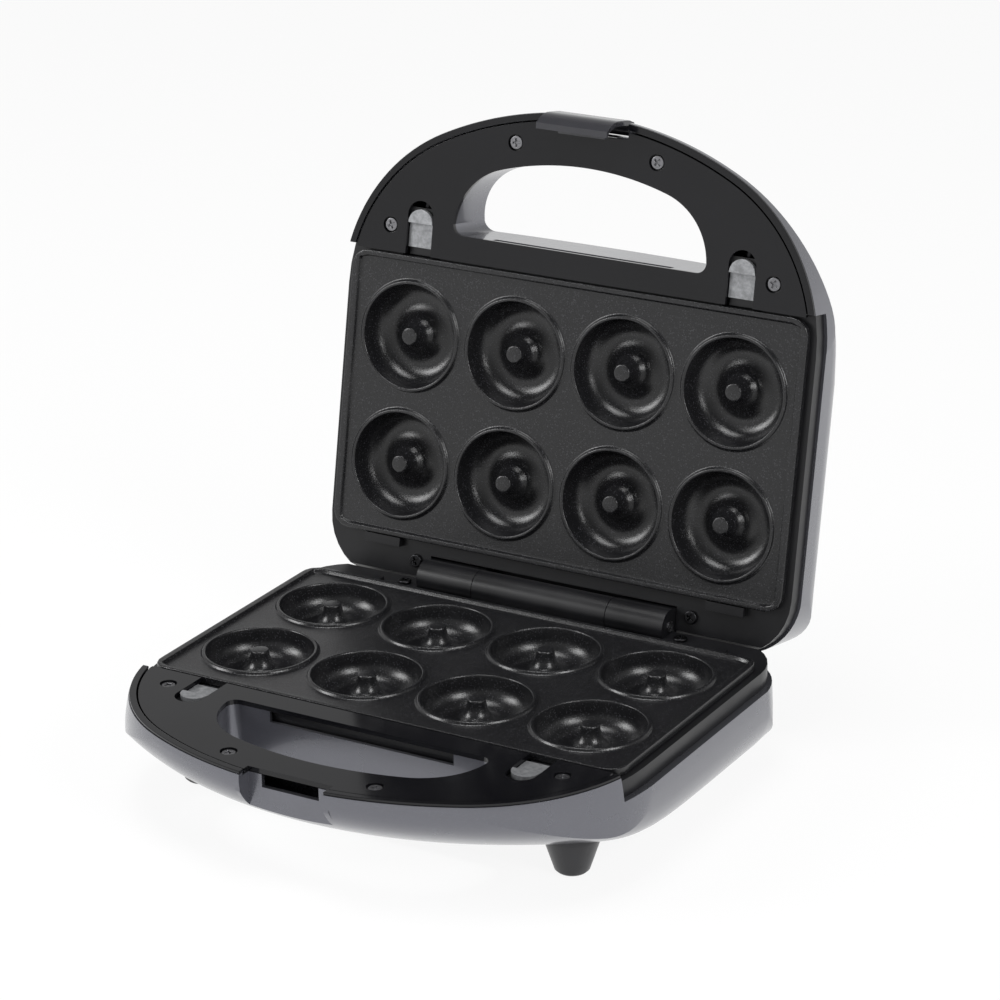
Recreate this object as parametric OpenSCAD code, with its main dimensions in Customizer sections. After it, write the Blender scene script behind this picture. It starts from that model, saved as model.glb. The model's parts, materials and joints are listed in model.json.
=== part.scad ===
// Eight-ring doughnut maker with two detachable plates, shown with its lid open.
// Every piece is drawn in the closed frame: X to the right, Y to the back, Z up,
// the parting plane at Z = 0 and the centre of the cavity grid at X = Y = 0.
// Pieces of the lid are drawn like those of the base and are then turned over.

/* [Body outline] */
// Reach of the body in front of the cavity grid's centre
front_reach = 143.5; // [140:0.5:150]
// Band of the body beside a plate
side_band = 4.5; // [4:0.1:6]
// Band of the body behind a plate, which carries the hinge
rear_band = 24; // [23:0.25:26]
// Radius of the broad front edge in plan
front_r = 170; // [160:1:190]
// Radius of the two front corners in plan
corner_r = 84; // [80:1:95]
// Radius of the two rear corners in plan
rear_r = 30; // [28:1:34]

/* [Covers] */
// Depth of the base below the parting plane
base_depth = 49; // [46:1:52]
// Depth of the lid above the parting plane
lid_depth = 38; // [37:0.5:42]
// Rounding of the base's lower side edges
base_round = 30; // [24:1:32]
// Rounding of the lid's upper side edges
lid_round = 27; // [20:1:28]
// Height of the upright rim along the front edge
front_edge = 4.5; // [3:0.5:8]
// Length of the crown behind the base's front edge
base_crown = 150; // [130:1:160]
// Length of the crown behind the lid's front edge
lid_crown = 85; // [75:1:95]
// Swell of the sides beyond the rim
bulge = 2.5; // [1:0.25:3]
// Wall thickness of the covers
cover_wall = 2.6; // [2:0.1:3]
// Width of the covers' rim around the deck
rim_w = 3.5; // [3:0.1:4.5]
// Depth at which the covers' top edge runs along the sides and the back
step_depth = 12; // [11:0.5:13]

/* [Plates] */
// Plate between the outer cavities and its sides
side_land = 9.2; // [8:0.1:10]
// Plate between the front cavities and its front edge
front_land = 13.15; // [12:0.05:14]
// Plate between the rear cavities and its back edge
rear_land = 10.35; // [9:0.05:11]
// Corner radius of a plate
plate_r = 8; // [4:0.5:12]
// Thickness of a plate's edge
plate_edge = 3.8; // [3.2:0.1:4.2]
// Depth of the plate's field below its rim
field_drop = 1.6; // [1:0.1:2]
// Width of the plate's rim at the sides
lip_side = 4.2; // [3.5:0.1:5]
// Width of the plate's rim at the front
lip_front = 3.2; // [2.5:0.1:4]
// Width of the plate's rim at the back
lip_rear = 3.2; // [2.5:0.1:4]
// Corner radius of the field inside the plate's rim
field_r = 2.5; // [2:0.1:4]
// Wall of the cavities' cups
cup_wall = 2; // [1.6:0.1:2.4]

/* [Cavities] */
// Number of cavities in a row
columns = 4; // [3:1:5]
// Distance between cavity centres along X
pitch_x = 56; // [55:0.25:57]
// Distance between the two rows of cavities
pitch_y = 60.7; // [58:0.1:62]
// Diameter of a cavity at its mouth
cavity_d = 48.6; // [47:0.1:50]
// Depth of a cavity below the parting plane
cavity_depth = 13.2; // [12:0.1:13.6]
// Width of the bead round a cavity
bead_w = 2.7; // [2:0.1:3]
// Height of the bead over the field
bead_h = 1.45; // [1:0.05:1.5]
// Diameter of the peg's flat top
peg_d = 8; // [7:0.1:9]
// Drop of the peg's top below the parting plane
peg_drop = 0.45; // [0.3:0.05:1]

/* [Deck and handle] */
// Thickness of the glossy deck
deck_t = 2.2; // [1.8:0.1:2.4]
// Drop of the deck below the parting plane
deck_drop = 0.5; // [0.4:0.1:0.8]
// Deck between the handle opening and a slider's slot
grip_land = 8.9; // [8:0.1:12]
// Back edge of the handle opening, in front of the grid's centre
grip_back = 80.5; // [80:0.1:81.5]
// Width of the handle bar at the front
bar_w = 23.5; // [22:0.1:26]
// Radius of the handle opening's front corners
grip_corner_r = 32; // [28:0.5:36]
// Wall of the handle opening
grip_wall = 1.8; // [1.4:0.1:2]
// Width of the window in the opening's back wall
window_w = 92; // [80:1:100]
// Height of that window
window_h = 7; // [5:0.5:9]

/* [Hinge] */
// Opening angle of the lid
open_angle = 100.76; // [90:0.1:100.8]
// Hinge axis in front of the body's back
hinge_in = 8.8; // [8.2:0.1:9]
// Hinge axis below the parting plane
hinge_drop = 0.8; // [0.4:0.1:1]
// Radius of the hinge barrels
barrel_r = 8; // [7:0.1:8.2]
// Half length of the middle barrel
barrel_split = 34.9; // [30:0.1:40]
// Half length of the whole hinge
barrel_half = 64.5; // [60:0.5:66]
// Diameter of the hinge pin
hinge_pin_d = 5; // [4:0.1:6]
// Frame screws beside the ends of the hinge
screw_beside = 8; // [7:0.5:9]

/* [Latch] */
// Width of the latch
latch_w = 36; // [30:1:38]
// Reach of the latch past the parting plane
latch_reach = 15; // [12:0.5:16]
// Thickness of the latch
latch_t = 2.4; // [2:0.1:2.8]
// Width of the notch that the latch lies in
notch_w = 41; // [40:1:46]
// Depth of the notch behind the front edge
notch_deep = 8; // [7.6:0.1:9]
// Diameter of the latch's pin
latch_pin_d = 2; // [1.6:0.1:2.2]

/* [Release sliders] */
// Distance of a slider from the body's side
slider_in = 39.25; // [38:0.25:40]
// Width of the slot for a slider
slot_w = 13.5; // [12:0.1:14]
// Front end of the slot, in front of the grid's centre
slot_front = 94; // [93:0.1:95]
// Travel of a slider
slider_travel = 3.8; // [3:0.1:4]
// Length of the raised thumb grip at a slider's front end
thumb_l = 6.5; // [5:0.1:8]
// Drop of the slider's pad behind that grip
pad_drop = 1.9; // [1:0.1:2]

/* [Heating] */
// Diameter of the heating tubes
heater_d = 6.4; // [5.8:0.1:6.6]
// Distance between the two legs of a heating tube
heater_span = 60; // [50:1:64]
// Thickness of the reflector's sheet
sheet_t = 0.8; // [0.6:0.1:1]

/* [Feet and screws] */
// Height of the base's lowest point over the table
foot_drop = 3; // [2.2:0.1:6]
// Distance of a front foot from the body's side
front_feet_in = 28; // [25:1:32]
// Front feet in front of the grid's centre
front_feet_y = 65; // [60:0.5:68]
// Diameter of a front foot at the cover
front_foot_d = 26; // [22:0.5:27]
// Diameter of a front foot at the table
front_foot_tip_d = 15.4; // [12:0.2:18]
// Distance of a rear foot from the body's side
rear_feet_in = 34; // [30:1:42]
// Rear feet behind the grid's centre
rear_feet_y = 66; // [60:0.5:68]
// Diameter of a rear foot
rear_foot_d = 18; // [14:0.5:20]
// Diameter of the screws
screw_d = 3; // [2.5:0.1:3.4]
// Diameter of the screws' heads
screw_head_d = 6.4; // [5.5:0.1:7]
// Length of a deck screw under its head
deck_screw_l = 10; // [8:1:12]
// Length of a frame screw under its head
frame_screw_l = 28; // [26:1:30]

/* [Cord inlet] */
// Bore of the cord gland
gland_bore = 7; // [6:0.1:8]
// Gland beside the middle
gland_x = 60; // [50:1:70]
// Gland below the parting plane
gland_drop = 27; // [24:0.5:29]

/* [Hidden] */

$fn = 48;
eps = 0.1;
gap = 0.3;          // running clearance between moving pieces
fit = 0.1;          // clearance between pieces fixed to each other
parting = 0.15;     // half of the gap between the closed halves

// ---- Sizes that follow from the cavities outwards ------------------------
cavity_r = cavity_d / 2;
plate_w = (columns - 1) * pitch_x + cavity_d + 2 * side_land;
plate_front = pitch_y / 2 + cavity_r + front_land;
plate_rear = pitch_y / 2 + cavity_r + rear_land;
body_w = plate_w + 2 * side_band;
half_w = body_w / 2;
rear_reach = plate_rear + rear_band;
hinge_y = rear_reach - hinge_in;
slider_x = half_w - slider_in;
grip_half_w = slider_x - slot_w / 2 - grip_wall - grip_land;
stand_h = base_depth + foot_drop;          // height of the parting plane over the table

// ---- Levels, from the parting plane down ----------------------------------
deck_top = -deck_drop;
deck_bottom = deck_top - deck_t;
frame_top = -parting - plate_edge - fit;
cup_r = 8.6;                               // radius of the ring that a cavity moulds
cup_mid_z = -cavity_depth + cup_r;
heater_r = heater_d / 2;
heater_z = -cavity_depth - cup_wall - gap - heater_r;
tray_top = heater_z + 2.1;
tray_floor = heater_z - heater_r - 0.7;
frame_bottom = tray_floor - sheet_t - 1.4;

// ---- Outline and form ------------------------------------------------------
front_c = front_r - front_reach;           // Y of the front arc's centre
corner_x = half_w - corner_r;
corner_y = front_c - sqrt(pow(front_r - corner_r, 2) - pow(corner_x, 2));
corner_a = atan2(corner_y - front_c, corner_x);
step_y = -(plate_front + 2.2);             // where the covers' top edge steps down
rear_round = [18, 12];                     // rounding of the rear edge, base and lid
round_power = 2.4;                         // squareness of the rounded edges

cover_grey = [0.44, 0.44, 0.48];
gloss_black = [0.03, 0.03, 0.035];
plate_black = [0.12, 0.12, 0.13];
slider_grey = [0.33, 0.34, 0.35];
steel = [0.75, 0.76, 0.78];
rubber = [0.10, 0.10, 0.11];

// ---- Frames ------------------------------------------------------------
hinge_z = -hinge_drop;

module placed() {
    translate([0, -middle_y, stand_h]) children();
}

module turned_over() {
    rotate([0, 180, 0]) children();
}

// A piece of the lid, drawn like one of the base and swung open about the hinge
module in_lid() {
    placed() translate([0, hinge_y, hinge_z]) rotate([-open_angle, 0, 0])
        translate([0, -hinge_y, -hinge_z]) turned_over() children();
}

module both_sides() {
    children();
    mirror([1, 0, 0]) children();
}

// ---- Outline of the body in plan ------------------------------------------
// Each entry is [x, y, outward x, outward y]
function arc_run(cx, cy, r, from, to, steps) = [
    for (i = [0:steps]) let (a = from + (to - from) * i / steps)
        [cx + r * cos(a), cy + r * sin(a), cos(a), sin(a)]
];

function tail(list) = [for (i = [1:len(list) - 1]) list[i]];

right_run = concat(
    arc_run(0, front_c, front_r, -90, corner_a, 6),
    tail(arc_run(corner_x, corner_y, corner_r, corner_a, 0, 10)),
    [for (i = [1:3]) [half_w, corner_y + (rear_reach - rear_r - corner_y) * i / 4, 1, 0]],
    arc_run(half_w - rear_r, rear_reach - rear_r, rear_r, 0, 90, 8)
);
left_run = [
    for (i = [len(right_run) - 1:-1:1])
        [-right_run[i][0], right_run[i][1], -right_run[i][2], right_run[i][3]]
];
rim_run = concat(right_run, left_run);
rim_count = len(rim_run);

function rim_points(inset) = [for (p = rim_run) [p[0] - inset * p[2], p[1] - inset * p[3]]];

// ---- Depth of a cover under each point of the plan ---------------------------
function rounded(d, r) = r * (1 - pow(1 - pow(1 - min(1, max(0, d) / r), round_power), 1 / round_power));
function crown_depth(s, depth, crown) =
    front_edge + (depth - front_edge) * sqrt(1 - pow(1 - min(1, max(0, s) / crown), 2));

// half = [depth, side rounding, rear rounding, crown]
base_half = [base_depth, base_round, rear_round[0], base_crown];
lid_half = [lid_depth, lid_round, rear_round[1], lid_crown];

function depth_at(x, y, half) = let (
    side = rounded(half_w - abs(x), half[1]),
    rear = rounded(rear_reach - y, half[2]),
    edge_y = front_c - sqrt(pow(front_r, 2) - pow(x, 2)),
    front = half[0] - crown_depth(y - edge_y, half[0], half[3])
) half[0] - pow(pow(side, 3) + pow(rear, 3) + pow(front, 3), 1 / 3);

wall_steps = [0, 0.33, 0.66, 1];
wall_swell = [0, 0.6, 0.92, 1];
inset_steps = [0.6, 1.8, 4, 7.5, 12, 18, 25];
centre_steps = [0.82, 0.62, 0.42, 0.22];
core = [0, -22];

function swell(p, depth) = bulge * min(1, depth / 18) * (1 - max(0, p[3]));

// Rings of a cover's surface, moved inwards by inset and up by lift
function wall_ring(k, half, inset, lift, top) = [
    for (p = rim_run) let (
        x = p[0] - inset * p[2], y = p[1] - inset * p[3],
        d = depth_at(x, y, half) - lift,
        out = swell(p, d + lift) * wall_swell[k]
    ) [x + out * p[2], y + out * p[3], k == 0 ? top : -d * wall_steps[k]]
];
function bottom_ring(step, half, inset, lift) = [
    for (p = rim_run) let (
        i = inset + step,
        d0 = depth_at(p[0] - inset * p[2], p[1] - inset * p[3], half),
        out = swell(p, d0) * pow(1 - step / 25, 2),
        x = p[0] - i * p[2], y = p[1] - i * p[3]
    ) [x + out * p[2], y + out * p[3], lift - depth_at(x, y, half)]
];
function centre_ring(scale_by, half, inset, lift) = [
    for (p = rim_run) let (
        i = inset + 25,
        x = core[0] + (p[0] - i * p[2] - core[0]) * scale_by,
        y = core[1] + (p[1] - i * p[3] - core[1]) * scale_by
    ) [x, y, lift - depth_at(x, y, half)]
];

// Y of a point of the closed lid once the lid is open
function opened_y(p) = hinge_y + (p[1] - hinge_y) * cos(open_angle)
    + (-p[2] - hinge_z) * sin(open_angle);
back_y = max([for (s = inset_steps) for (p = bottom_ring(s, lid_half, 0, 0)) opened_y(p)]);
far_y = max([for (s = centre_steps) for (p = centre_ring(s, lid_half, 0, 0)) opened_y(p)]);
middle_y = (max(back_y, far_y) - front_reach) / 2;

// A closed skin through rings of equal count, its lower end drawn to one point
module skin(rings, tip) {
    n = len(rings[0]);
    points = concat([for (r = rings) for (p = r) p], [tip]);
    sides = [
        for (k = [0:len(rings) - 2]) for (i = [0:n - 1]) let (j = (i + 1) % n)
            each [[k * n + i, k * n + j, (k + 1) * n + j], [k * n + i, (k + 1) * n + j, (k + 1) * n + i]]
    ];
    last = (len(rings) - 1) * n;
    end = [for (i = [0:n - 1]) [last + i, last + (i + 1) % n, last + n]];
    polyhedron(points, concat([[for (i = [n - 1:-1:0]) i]], sides, end), convexity = 6);
}

module cover_solid(half, inset, lift, top) {
    skin(
        concat(
            [for (k = [0:3]) wall_ring(k, half, inset, lift, top)],
            [for (s = inset_steps) bottom_ring(s, half, inset, lift)],
            [for (s = centre_steps) centre_ring(s, half, inset, lift)]
        ),
        [core[0], core[1], lift - depth_at(core[0], core[1], half)]
    );
}

// ---- Handle opening ---------------------------------------------------------
grip_arc_r = front_r - bar_w;
grip_cx = grip_half_w - grip_corner_r;
grip_cy = front_c - sqrt(pow(grip_arc_r - grip_corner_r, 2) - pow(grip_cx, 2));
grip_a = atan2(grip_cy - front_c, grip_cx);
grip_small_r = 5;
grip_small_y = -grip_back - grip_small_r;
grip_end_a = asin((grip_small_y - grip_cy) / grip_corner_r);

grip_run = concat(
    arc_run(0, front_c, grip_arc_r, -90, grip_a, 5),
    tail(arc_run(grip_cx, grip_cy, grip_corner_r, grip_a, grip_end_a, 8)),
    arc_run(grip_half_w - grip_small_r, grip_small_y, grip_small_r, 0, 90, 4)
);

function grip_points(grow) = concat(
    [for (p = grip_run) [p[0] + grow * p[2], p[1] + grow * p[3]]],
    [for (i = [len(grip_run) - 1:-1:1])
        [-grip_run[i][0] - grow * grip_run[i][2], grip_run[i][1] + grow * grip_run[i][3]]]
);

module grip_prism(grow, bottom, top) {
    translate([0, 0, bottom]) linear_extrude(top - bottom) polygon(grip_points(grow));
}

// ---- Places of screws, latch and sliders -------------------------------------
deck_screw_in = [23.5, 80.9];              // outer ones, from the side and the grid's centre
bar_screw_in = [36.1, 16.7];               // inner ones, from the middle and the front
deck_screws_at = [
    for (side = [1, -1]) each [
        [side * (half_w - deck_screw_in[0]), -deck_screw_in[1]],
        [side * bar_screw_in[0], bar_screw_in[1] - front_reach]
    ]
];
frame_screws_at = [for (side = [1, -1]) [side * (barrel_half + screw_beside), hinge_y - 5]];
post_r = 4.2;
notch_y = -front_reach + notch_deep;       // face of the notch's back wall
slot_r = slot_w / 2;
hook_level = deck_bottom - 1.1;            // underside of the slider's flange
spring_r = 1.6;
spring_z = hook_level - gap - 1 - gap - spring_r;
guide_half = slot_r + 3.2;
guide_l = 6.6;

function front_inset(t) = base_crown * (1 - sqrt(1 - pow(max(0, t - front_edge) / (base_depth - front_edge), 2)));

module screws(places, seat, length, head) {
    for (p = places) translate([p[0], p[1], seat]) {
        cylinder(d = screw_head_d, h = head);
        translate([0, 0, -length]) cylinder(d = screw_d, h = length + eps);
    }
}

// ---- Covers -------------------------------------------------------------------
catch_top = 2.6;
catch_bottom = 8.6;
catch_w = 28;
lid_notch_depth = 13.2;

module cover(half, notch_floor) {
    difference() {
        union() {
            difference() {
                cover_solid(half, 0, 0, -parting);
                cover_solid(half, rim_w, cover_wall, 1);
            }
            intersection() {
                cover_solid(half, 1.2, 1, -parting - 0.3);
                cover_inner_walls();
            }
        }
        grip_prism(0, -half[0] - 5, 5);
        translate([-window_w / 2, -grip_back - 1, deck_top - window_h])
            cube([window_w, grip_wall + 2, window_h + 5]);
        // notch for the latch and the slot that it catches in
        translate([-notch_w / 2, -front_reach - 10, notch_floor])
            cube([notch_w, notch_deep + 10, 60]);
        translate([-catch_w / 2, notch_y - 1, -catch_bottom])
            cube([catch_w, 6, catch_bottom - catch_top]);
        // the top edge steps down along the sides and the back
        translate([-body_w, step_y, -step_depth]) cube([2 * body_w, 400, 60]);
        for (p = deck_screws_at) translate([p[0], p[1], deck_top - deck_screw_l - 4.5])
            cylinder(d = screw_d + 0.1, h = deck_screw_l + 20);
        for (p = frame_screws_at) translate([p[0], p[1], frame_top - frame_screw_l - 1.75])
            cylinder(d = screw_d + 0.1, h = frame_screw_l + 2);
    }
}

// Posts, the handle opening's wall and the block behind the latch's notch
module cover_inner_walls() {
    difference() {
        grip_prism(grip_wall, -80, deck_top - 0.1);
        grip_prism(0, -90, 5);
    }
    for (p = deck_screws_at) translate([p[0], p[1], -80])
        cylinder(r = post_r, h = 80 + deck_bottom - fit);
    for (p = frame_screws_at) translate([p[0], p[1], -80])
        cylinder(r = post_r, h = 80 + frame_bottom - fit);
    translate([-notch_w / 2 - 2.4, -front_reach - 5, -40])
        cube([notch_w + 4.8, notch_deep + 5 + 2.4, 40 + deck_bottom - fit]);
}

module base_cover() {
    color(cover_grey) placed() difference() {
        cover(base_half, -60);
        both_sides() translate([half_w - front_feet_in, -front_feet_y, -60])
            cylinder(d = front_foot_d + 2 * fit, h = 60 + foot_top);
        both_sides() translate([half_w - rear_feet_in, rear_feet_y, -base_depth - 2])
            cylinder(d = rear_foot_d + 2 * fit, h = 3.2);
        translate([gland_x, rear_reach + 10, -gland_drop]) rotate([90, 0, 0])
            cylinder(r = gland_r + fit, h = 20);
    }
}

module lid_cover() {
    color(cover_grey) in_lid() difference() {
        cover(lid_half, -lid_notch_depth);
        translate([-notch_w / 2 - 2.4 - eps, pin_y, pin_z]) rotate([0, 90, 0])
            cylinder(d = latch_pin_d + 0.04, h = notch_w + 5);
        for (x = lamps_x) translate([x, lamp_y, -60]) cylinder(d = lens_d + 2 * fit, h = 40);
    }
}

// ---- Decks --------------------------------------------------------------------
module deck() {
    difference() {
        union() {
            translate([0, 0, deck_bottom]) linear_extrude(deck_t) difference() {
                intersection() {
                    polygon(rim_points(rim_w + 0.4));
                    translate([-200, -200]) square([400, 200 - plate_front - 0.9]);
                }
                polygon(grip_points(grip_wall + 0.4));
                translate([-notch_w / 2 - 0.4, -front_reach - 10])
                    square([notch_w + 0.8, notch_deep + 10.4]);
                both_sides() slot_outline();
                for (p = deck_screws_at) translate(p) circle(d = screw_d + 0.4);
            }
            both_sides() translate([slider_x, -slot_front - 1.2, 0]) slot_guide();
        }
        for (p = deck_screws_at) translate([p[0], p[1], deck_top - 1.4])
            cylinder(d = screw_head_d + 0.8, h = 5);
    }
}

// Bridge under the slot's front end that guides the slider, and the wall that its spring pushes
module slot_guide() {
    translate([-guide_half, -1.8, spring_z - spring_r - 0.4])
        cube([2 * guide_half, 1.8, deck_bottom + eps - spring_z + spring_r + 0.4]);
    translate([-guide_half, -eps, hook_level - gap - 1]) cube([2 * guide_half, guide_l, 1]);
    both_sides() translate([guide_half - 1.2, -eps, hook_level - gap - 1])
        cube([1.2, guide_l, deck_bottom + eps - hook_level + gap + 1]);
}

module slot_outline() {
    translate([slider_x, -slot_front + slot_r]) circle(r = slot_r);
    translate([slider_x - slot_r, -slot_front + slot_r]) square([slot_w, 60]);
}

module base_deck() {
    color(gloss_black) placed() deck();
}

module lid_deck() {
    color(gloss_black) in_lid() deck();
}

// ---- Inner frames ---------------------------------------------------------------
pocket_half_x = (columns - 1) / 2 * pitch_x + cavity_r + cup_wall + 1.7;
pocket_front = plate_front - 6;
pocket_rear = plate_rear - 5;
frame_front = grip_back - grip_wall - 1;    // front face of the bar behind the handle opening
frame_corner = pocket_half_x + pocket_front + 2.2;

module frame_body() {
    difference() {
        union() {
            // band that shows between the cover and the plate
            translate([0, 0, -step_depth + fit]) linear_extrude(step_depth - fit + frame_top)
                intersection() {
                    polygon(rim_points(1.2));
                    translate([-200, step_y + 0.3]) square([400, 300]);
                }
            // ring inside the cover
            translate([0, 0, frame_bottom]) linear_extrude(frame_top - frame_bottom) intersection() {
                polygon(rim_points(7.5));
                translate([-200, -frame_front]) square([400, 300]);
                // its front corners are cut off, clear of the covers' crown
                translate([0, plate_rear]) rotate(45)
                    square(sqrt(2) * (plate_rear + frame_corner), center = true);
            }
            // lips over the plate's rear tabs
            both_sides() translate([tab_x - tab_w / 2 - 1.5, plate_rear + 0.4, frame_top - 1])
                cube([tab_w + 3, 4.2, 1 - frame_top - 0.6]);
        }
        pocket(tray_floor - sheet_t - fit, 0);
        pocket(-40, 3.5);
        // the back leans out so that the open halves clear each other
        translate([0, hinge_y - 0.9, 0]) rotate([38.4, 0, 0]) translate([-200, 0, -100])
            cube([400, 100, 200]);
        // room for the hinge barrels
        translate([-barrel_half - gap, hinge_y - barrel_r - 0.5, -step_depth])
            cube([2 * (barrel_half + gap), 60, 60]);
        translate([-barrel_half + 3, plate_rear - 2, -40])
            cube([2 * barrel_half - 6, 14, 40 - step_depth - 2]);
        // room for the sliders' hooks and the plate's catches
        both_sides() translate([slider_x - 10, -frame_front - 5, -9.6])
            cube([20, frame_front + 5 - pocket_front + eps, 20]);
        // slots for the plate's rear tabs
        both_sides() translate([tab_x - tab_w / 2 - 0.5, plate_rear - 6, -2.2 - tab_t - 0.4])
            cube([tab_w + 1, 6 + tab_l + 0.5, tab_t + 0.7]);
        // clear of the cover's posts and the deck's screws
        for (p = deck_screws_at) translate([p[0], p[1], -40]) cylinder(r = post_r + 0.4, h = 60);
        for (p = frame_screws_at) translate([p[0], p[1], -40]) cylinder(d = screw_d + 0.3, h = 60);
    }
}

module pocket(floor_z, narrower) {
    x = pocket_half_x - narrower;
    translate([-x, -pocket_front + narrower, floor_z])
        cube([2 * x, pocket_front + pocket_rear - 2 * narrower, 60]);
}

// One barrel of the hinge with the web that carries it, from x0 to x1
module barrel(x0, x1, bore) {
    difference() {
        union() {
            translate([x0, hinge_y, hinge_z]) rotate([0, 90, 0]) cylinder(r = barrel_r, h = x1 - x0);
            translate([x0, hinge_y - barrel_r + 0.6, -step_depth - 2])
                cube([x1 - x0, barrel_r + 1, step_depth + 2 + hinge_z]);
        }
        translate([x0 - 1, hinge_y, hinge_z]) rotate([0, 90, 0])
            cylinder(d = bore, h = x1 - x0 + 2);
    }
}

module base_frame() {
    color(gloss_black) placed() {
        frame_body();
        barrel(-barrel_split, barrel_split, hinge_pin_d + 0.04);
    }
}

module lid_frame() {
    color(gloss_black) in_lid() {
        frame_body();
        both_sides() lid_barrel();
    }
}

// The lid's hinge axis lies on the far side of the parting plane before the lid is turned over
module lid_barrel() {
    x0 = barrel_split + gap;
    difference() {
        union() {
            translate([x0, hinge_y, -hinge_z]) rotate([0, 90, 0])
                cylinder(r = barrel_r, h = barrel_half - x0);
            translate([x0, hinge_y - barrel_r + 0.6, -step_depth - 2])
                cube([barrel_half - x0, barrel_r + 1, step_depth + 2 - hinge_z]);
        }
        translate([x0 - 1, hinge_y, -hinge_z]) rotate([0, 90, 0])
            cylinder(d = hinge_pin_d + 0.1, h = barrel_half - x0 + 2);
    }
}

module hinge_pin() {
    color(steel) placed() translate([-barrel_half - 0.5, hinge_y, hinge_z]) rotate([0, 90, 0])
        cylinder(d = hinge_pin_d, h = 2 * barrel_half + 1);
}

// ---- Plates ---------------------------------------------------------------------
tab_x = plate_w / 2 - 27.5;
tab_w = 16;
catch_half = 8;
tab_l = 3.4;
tab_t = 2;
field = -parting - field_drop;
mouth_flare = 0.5;                          // widening of a cavity from its ring to its mouth
cup_mid = cavity_r - mouth_flare - cup_r;
peg_r = peg_d / 2;

function cup_arc(r, from, to, steps) = [
    for (i = [0:steps]) let (a = from + (to - from) * i / steps)
        [cup_mid + r * cos(a), cup_mid_z + r * sin(a)]
];

module cavity_cut() {
    rotate_extrude($fn = 64) polygon(concat(
        [[0, 5], [cavity_r + 0.4, 5], [cavity_r + 0.4, field + bead_h], [cavity_r, field + bead_h - 0.6],
            [cavity_r - 0.2, field - 0.8]],
        cup_arc(cup_r, 0, -150, 10),
        [[peg_r + 1.6, -cavity_depth / 2], [peg_r + 0.5, -cavity_depth / 4], [peg_r, -peg_drop - 0.9],
            [peg_r - 0.4, -peg_drop], [0, -peg_drop]]
    ));
}

module cup() {
    rotate_extrude($fn = 64) polygon(concat(
        [[0, field - 0.5], [cavity_r + cup_wall - 0.4, field - 0.5]],
        cup_arc(cup_r + cup_wall, 0, -150, 8),
        [[0, cup_mid_z - cup_r + 3.4]]
    ));
}

module bead() {
    rotate_extrude($fn = 64) polygon([
        [cavity_r - 1, field - 0.5], [cavity_r + bead_w, field - 0.5], [cavity_r + bead_w, field],
        [cavity_r + bead_w - 1, field + bead_h - 0.35], [cavity_r + bead_w - 1.3, field + bead_h],
        [cavity_r - 1, field + bead_h]
    ]);
}

module rounded_rect(x0, y0, x1, y1, r) {
    translate([x0 + r, y0]) square([x1 - x0 - 2 * r, y1 - y0]);
    translate([x0, y0 + r]) square([x1 - x0, y1 - y0 - 2 * r]);
    for (x = [x0 + r, x1 - r], y = [y0 + r, y1 - r]) translate([x, y]) circle(r = r);
}

module each_cavity() {
    for (i = [0:columns - 1], j = [-0.5, 0.5])
        translate([(i - (columns - 1) / 2) * pitch_x, j * pitch_y, 0]) children();
}

module plate() {
    w = plate_w / 2;
    difference() {
        union() {
            difference() {
                translate([0, 0, -parting - plate_edge]) linear_extrude(plate_edge)
                    rounded_rect(-w, -plate_front, w, plate_rear, plate_r);
                translate([0, 0, field]) linear_extrude(5)
                    rounded_rect(-w + lip_side, -plate_front + lip_front, w - lip_side,
                        plate_rear - lip_rear, field_r);
            }
            each_cavity() {
                cup();
                bead();
            }
            // catches that the sliders hold, and tabs that hook under the frame
            both_sides() translate([slider_x - catch_half, -plate_front - 3, hook_level - 3.6])
                cube([2 * catch_half, 3 + 5, 2]);
            both_sides() translate([slider_x - catch_half, -plate_front + 0.5, hook_level - 3.6])
                cube([2 * catch_half, 4.5, 4]);
            both_sides() translate([tab_x - tab_w / 2, plate_rear - 1, -2.2 - tab_t])
                cube([tab_w, 1 + tab_l, tab_t]);
        }
        each_cavity() cavity_cut();
    }
}

module base_plate() {
    color(plate_black) placed() plate();
}

module lid_plate() {
    color(plate_black) in_lid() plate();
}

// ---- Heating --------------------------------------------------------------------
heater_turn = heater_span / 2;
tray_half_x = pocket_half_x - 0.5;
heater_bend_x = tray_half_x - heater_turn - heater_r - 6.3;
heater_end_x = 13.5 - tray_half_x;
clip_in = [38, 32];                         // clips from the two ends of a tube's legs
clip_w = 10;
tray_front = pocket_front - 0.5;
tray_rear = pocket_rear - 0.5;

module tray_shape(shrink) {
    rounded_rect(-tray_half_x + shrink, -tray_front + shrink, tray_half_x - shrink,
        tray_rear - shrink, 6 - shrink);
}

module reflector() {
    difference() {
        translate([0, 0, tray_floor - sheet_t]) linear_extrude(tray_top - tray_floor + sheet_t)
            tray_shape(0);
        translate([0, 0, tray_floor]) linear_extrude(20) tray_shape(sheet_t);
        // the heating tube's cold ends pass through the tray's side
        for (y = [-1, 1]) translate([-tray_half_x - 2, y * heater_turn, heater_z]) rotate([0, 90, 0])
            cylinder(d = 3.4, h = 6);
    }
}

module heater() {
    both_legs() translate([heater_end_x, heater_turn, heater_z]) rotate([0, 90, 0])
        cylinder(r = heater_r, h = heater_bend_x - heater_end_x);
    translate([heater_bend_x, 0, heater_z]) rotate([0, 0, -90]) rotate_extrude(angle = 180)
        translate([heater_turn, 0]) circle(r = heater_r, $fn = 24);
    both_legs() translate([-tray_half_x + 3, heater_turn, heater_z]) rotate([0, 90, 0])
        cylinder(d = 2.6, h = tray_half_x - 3 + heater_end_x + eps);
}

module both_legs() {
    children();
    mirror([0, 1, 0]) children();
}

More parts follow.
